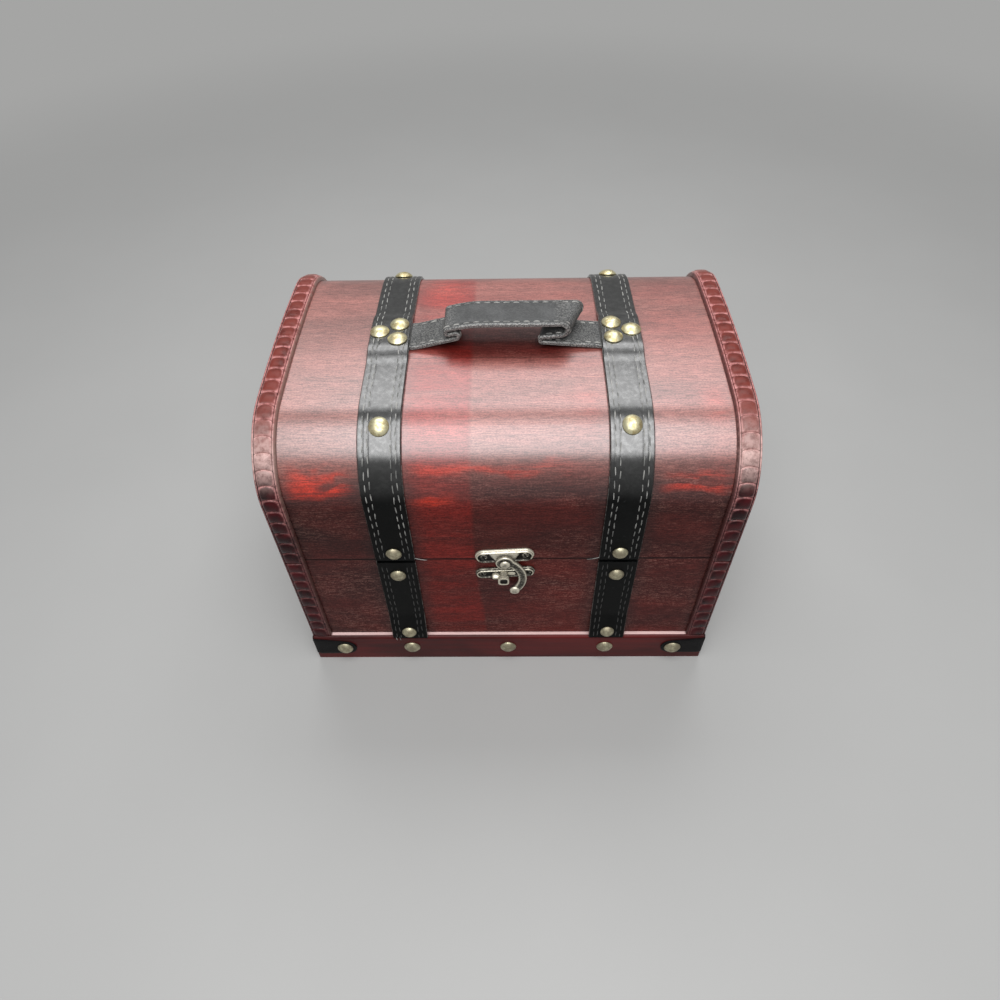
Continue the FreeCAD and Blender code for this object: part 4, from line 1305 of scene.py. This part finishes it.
# Latch screws: plated cross-head screws with domed heads, driven through the pans of both plates.
# The crosses are dark and the heads are duller than the rims.
screw_radius = 1.9
screw_dome = 0.8
screw_seat = 1.15
screw_spokes = 24
screw_reaches = (1.0, 0.98, 0.85, 0.7, 0.55, 0.42, 0.3, 0.18, 0.08)
screw_turn = 0.35
screw_brightness = 0.38
cross_half = 0.16
cross_reach = 0.72
cross_depth = 0.44
screw_sharp = 40.0


def cross_screws(name, spacing, z, centre_z, body, node):
    points, faces, edges = [], [], []
    turn = turn_to(FORWARD)
    for side in (LEFT, RIGHT):
        x, high = tilted(latch_x + side * spacing / 2, z, centre_z)
        seat = Vector((x, -wall_y - screw_seat, high))
        rings = []
        for reach in screw_reaches:
            rise = screw_dome * math.sqrt(max(0.0, 1 - reach ** 2)) if reach < 1.0 else 0.0
            ring = []
            for spoke in range(screw_spokes):
                angle = math.tau * spoke / screw_spokes
                nearer = reach * min(abs(math.cos(angle)), abs(math.sin(angle)))
                crossed = reach < cross_reach and nearer < cross_half
                angle += screw_turn
                height = rise - (cross_depth if crossed else 0.0)
                out = screw_radius * reach
                local = Vector((out * math.cos(angle), out * math.sin(angle), height))
                ring.append(tuple(seat + turn @ local))
                edges.append(0.0 if crossed else screw_brightness)
            rings.append(ring)
        add_skin(points, faces, rings)
    casting(name, points, faces, edges, body, [node], screw_sharp)


cross_screws("plate_screws_top", top_spacing, latch_top_z, pivot_z, "lid", "latch_top_screws")
cross_screws("plate_screws_strike", strike_spacing, strike_z, strike_z, "base", "latch_strike_screws")


# Latch hook and rivet: a flat cast crescent that turns on a domed rivet and drops round the post.
# Its face is rough and dark, the edges are rubbed bright and the tip ends in a small knob.
hook_back = 2.55
hook_lean = math.radians(7.0)
hook_eye_radius = 4.6
rivet_radius = 1.2
bore_radius = rivet_radius + 0.15
bore_brightness = 0.3
eye_steps = 39
arm_steps = 12
crescent_steps = 60
tip_steps = 14
# Three places on each curve of the hook, as (aside, down) from the pivot
hook_outer = ((0.0, -4.2), (9.3, 12.2), (4.0, 24.2))
hook_inner = ((-0.45, 22.5), (5.2, 12.2), (-1.7, 0.0))
hook_tip = (1.1, 26.0)
# From the back to the face: (inset, height, brightness)
hook_rings = ((0.3, 0.0, 0.3), (0.0, 0.3, 0.4), (0.0, 1.2, 0.6), (0.12, 1.55, 0.9), (0.35, 1.75, 0.95),
              (0.6, 1.78, 0.6), (0.95, 1.7, 0.36), (1.5, 1.66, 0.3))
knob_place = (1.9, 23.0)
knob_power = 0.8
knob_half_x = 2.5
knob_half_z = 2.7
knob_foot = hook_back + 1.5
rivet_head = 2.5
rivet_foot = 4.5
# Knob and rivet: (share of the half width, rise, brightness)
knob_rings = ((1.0, 0.0, 0.4), (0.98, 0.4, 0.8), (0.8, 0.8, 1.0), (0.5, 1.0, 0.7), (0.2, 1.05, 0.5))
shank_share = rivet_radius / rivet_head
rivet_rings = ((shank_share, -2.2, 0.2), (shank_share, 0.0, 0.2), (1.0, 0.0, 0.4), (1.0, 0.25, 0.9),
               (0.88, 0.7, 1.0), (0.62, 1.0, 0.7), (0.3, 1.1, 0.45))


def circle_through(first, second, third):
    (ax, ay), (bx, by), (cx, cy) = first, second, third
    d = 2 * (ax * (by - cy) + bx * (cy - ay) + cx * (ay - by))
    a, b, c = ax * ax + ay * ay, bx * bx + by * by, cx * cx + cy * cy
    ux = (a * (by - cy) + b * (cy - ay) + c * (ay - by)) / d
    uy = (a * (cx - bx) + b * (ax - cx) + c * (bx - ax)) / d
    return (ux, uy), math.hypot(ax - ux, ay - uy)


def arc_points(first, second, third, count):
    # From the first place to the third by way of the second, as (aside, down)
    (ux, uy), radius = circle_through(first, second, third)
    start, middle, end = (math.atan2(y - uy, x - ux) for x, y in (first, second, third))
    sweep = (end - start) % math.tau
    if (middle - start) % math.tau > sweep:
        sweep -= math.tau
    angles = [start + sweep * step / count for step in range(count + 1)]
    return [(ux + radius * math.cos(angle), uy + radius * math.sin(angle)) for angle in angles]


def hook_outline():
    # Down the outer curve, round the tip, up the inner curve and round the eye
    curves = [arc_points(*curve, crescent_steps) for curve in (hook_outer, hook_inner)]
    outer, inner = ([place for place in curve if math.hypot(*place) > hook_eye_radius] for curve in curves)
    tip = arc_points(outer[-1], hook_tip, inner[0], tip_steps)[1:-1]
    start = math.atan2(inner[-1][1], inner[-1][0])
    end = math.atan2(outer[0][1], outer[0][0])
    share = (end - start) % math.tau / (eye_steps + 1)
    angles = [start + share * step for step in range(1, eye_steps + 1)]
    eye = [(hook_eye_radius * math.cos(angle), hook_eye_radius * math.sin(angle)) for angle in angles]
    return outer + tip + inner + eye


def shrink(outline, inset):
    shrunk = []
    for step, (x, y) in enumerate(outline):
        before = Vector(outline[step - 1])
        after = Vector(outline[(step + 1) % len(outline)])
        ahead = (after - before).normalized()
        shrunk.append((x - ahead.y * inset, y + ahead.x * inset))
    return shrunk


def hook_place(aside, down):
    return (latch_x + aside * math.cos(hook_lean) + down * math.sin(hook_lean),
            pivot_z + aside * math.sin(hook_lean) - down * math.cos(hook_lean))


def bore_eye(points, faces, ring):
    # Opens the hook's two flat faces round the pivot and lines the bore
    faces = faces[:-2]
    bore = []
    for first in (0, len(points) - ring):
        rim = range(first + ring - eye_steps, first + ring)
        depth = points[first][1]
        angles = [math.atan2(points[corner][2] - pivot_z, points[corner][0] - latch_x) for corner in rim]
        turned = sum(math.remainder(after - before, math.tau) for before, after in zip(angles, angles[1:]))
        left = math.copysign(math.tau, turned) - turned
        angles += [angles[-1] + left * step / arm_steps for step in range(1, arm_steps)]
        wall = range(len(points), len(points) + len(angles))
        points += [(latch_x + bore_radius * math.cos(angle), depth, pivot_z + bore_radius * math.sin(angle))
                   for angle in angles]
        for step in range(eye_steps - 1):
            faces.append((rim[step], rim[step + 1], wall[step + 1], wall[step]))
        faces.append((*range(first, rim[0] + 1), wall[0], *wall[:eye_steps - 2:-1], rim[-1]))
        bore.append(wall)
    for step in range(len(bore[0])):
        faces.append((bore[0][step - 1], bore[0][step], bore[1][step], bore[1][step - 1]))
    return faces


outline = hook_outline()
hook_loops = [([hook_place(*place) for place in shrink(outline, inset)], hook_back + height, edge)
              for inset, height, edge in hook_rings]
hook_points, hook_faces, hook_edges = loft(hook_loops)
hook_faces = bore_eye(hook_points, hook_faces, len(outline))
hook_edges += [bore_brightness] * (len(hook_points) - len(hook_edges))
casting("cast_hook", hook_points, hook_faces, hook_edges, "latch_hook", ["latch_hook"])
knob_rows = [(knob_half_x * share, knob_half_z * share, knob_foot + rise, edge)
             for share, rise, edge in knob_rings]
casting("cast_hook_knob", *loft(stacked(*hook_place(*knob_place), knob_rows, knob_power)), "latch_hook")
rivet_rows = [(rivet_head * share, rivet_head * share, rivet_foot + rise, edge)
              for share, rise, edge in rivet_rings]
casting("pivot_rivet_head", *loft(stacked(latch_x, pivot_z, rivet_rows, round_power)), "lid",
        ["latch_pivot_rivet"])


# Studio: a pale floor that runs into a backdrop of the same grey, one broad soft lamp above the
# front and a weaker one behind, with the camera where the photograph was taken from.
# Floor and lamps are set out in metres.
floor_half = 4.0
floor_dark = colour(163, 163, 162)
floor_pale = colour(169, 169, 168)
backdrop_grey = colour(165, 165, 164)
surround_tone = (0.9, 0.92, 0.95, 1.0)
surround_strength = 0.12
eye = Vector((2.79, -288.48, 377.94)) * MM
pitch = math.radians(48.84)
yaw = math.radians(-1.46)
roll = math.radians(1.47)
sensor_width = 36.0
focal_pixels = 724.2
frame_pixels = 1000.0


def looked_at(tree):
    # One for a camera, mirror or glass ray, none for light that only falls on other things
    path = tree.nodes.new("ShaderNodeLightPath").outputs
    return most(tree, path["Is Camera Ray"], path["Is Glossy Ray"], path["Is Transmission Ray"])


def floor_finish():
    finish, tree, shader, place = new_finish("floor_paper")
    tone = blend_colours(tree, cloud(tree, place, 9.0, 3.0), floor_dark, floor_pale)
    fill(tree, shader, {"Base Color": tone, "Roughness": 0.6})
    # Far from the chest the floor runs into the backdrop
    distance = add_node(tree, "ShaderNodeVectorMath", {0: place}, operation="LENGTH").outputs["Value"]
    share = times(tree, fade(tree, distance, 0.45, 1.1), looked_at(tree))
    backdrop = add_node(tree, "ShaderNodeEmission", {"Color": backdrop_grey, "Strength": 1.0}).outputs[0]
    blend = add_node(tree, "ShaderNodeMixShader", {0: share, 1: shader.outputs[0], 2: backdrop})
    tree.links.new(blend.outputs[0], tree.nodes["Material Output"].inputs["Surface"])
    return finish


def light_surround():
    world = bpy.data.worlds.new("surround")
    bpy.context.scene.world = world
    world.use_nodes = True
    tree = world.node_tree
    surround = tree.nodes["Background"]
    fill(tree, surround, {"Color": surround_tone, "Strength": surround_strength})
    backdrop = add_node(tree, "ShaderNodeBackground", {"Color": backdrop_grey, "Strength": 1.0}).outputs[0]
    blend = add_node(tree, "ShaderNodeMixShader", {0: looked_at(tree), 1: surround.outputs[0], 2: backdrop})
    tree.links.new(blend.outputs[0], tree.nodes["World Output"].inputs["Surface"])


def add_lamp(name, place, aim, size, power):
    lamp = bpy.data.lights.new(name, "AREA")
    lamp.shape = "RECTANGLE"
    lamp.size, lamp.size_y = size
    lamp.energy = power
    holder = bpy.data.objects.new(name, lamp)
    holder.location = place
    holder.rotation_euler = (Vector(aim) - Vector(place)).to_track_quat("-Z", "Y").to_euler()
    bpy.context.scene.collection.objects.link(holder)


floor_mesh = bpy.data.meshes.new("floor")
floor_corners = [(-floor_half, -floor_half, 0), (floor_half, -floor_half, 0), (floor_half, floor_half, 0),
                 (-floor_half, floor_half, 0)]
floor_mesh.from_pydata(floor_corners, [], [(0, 1, 2, 3)])
floor_mesh.materials.append(floor_finish())
floor = bpy.data.objects.new("floor", floor_mesh)
bpy.context.scene.collection.objects.link(floor)

add_lamp("main_lamp", place=(0.0, -0.50, 1.04), aim=(0.0, -0.06, 0.15), size=(0.95, 1.05), power=15.0)
add_lamp("rear_lamp", place=(0.0, 0.52, 0.98), aim=(0.0, 0.0, 0.15), size=(0.95, 0.5), power=5.6)
light_surround()

forward = Vector((math.sin(yaw) * math.cos(pitch), math.cos(yaw) * math.cos(pitch), -math.sin(pitch)))
right = Vector((math.cos(yaw), -math.sin(yaw), 0.0))
down = forward.cross(right)
level_right = right * math.cos(roll) + down * math.sin(roll)
level_down = down * math.cos(roll) - right * math.sin(roll)
camera_data = bpy.data.cameras.new("camera")
camera_data.sensor_fit = "HORIZONTAL"
camera_data.sensor_width = sensor_width
camera_data.lens = sensor_width * focal_pixels / frame_pixels
camera_data.clip_start = 0.01
camera = bpy.data.objects.new("camera", camera_data)
camera.matrix_world = Matrix((
    (level_right.x, -level_down.x, -forward.x, eye.x),
    (level_right.y, -level_down.y, -forward.y, eye.y),
    (level_right.z, -level_down.z, -forward.z, eye.z),
    (0.0, 0.0, 0.0, 1.0)))
bpy.context.scene.collection.objects.link(camera)
bpy.context.scene.camera = camera
bpy.context.scene.view_settings.view_transform = "Standard"
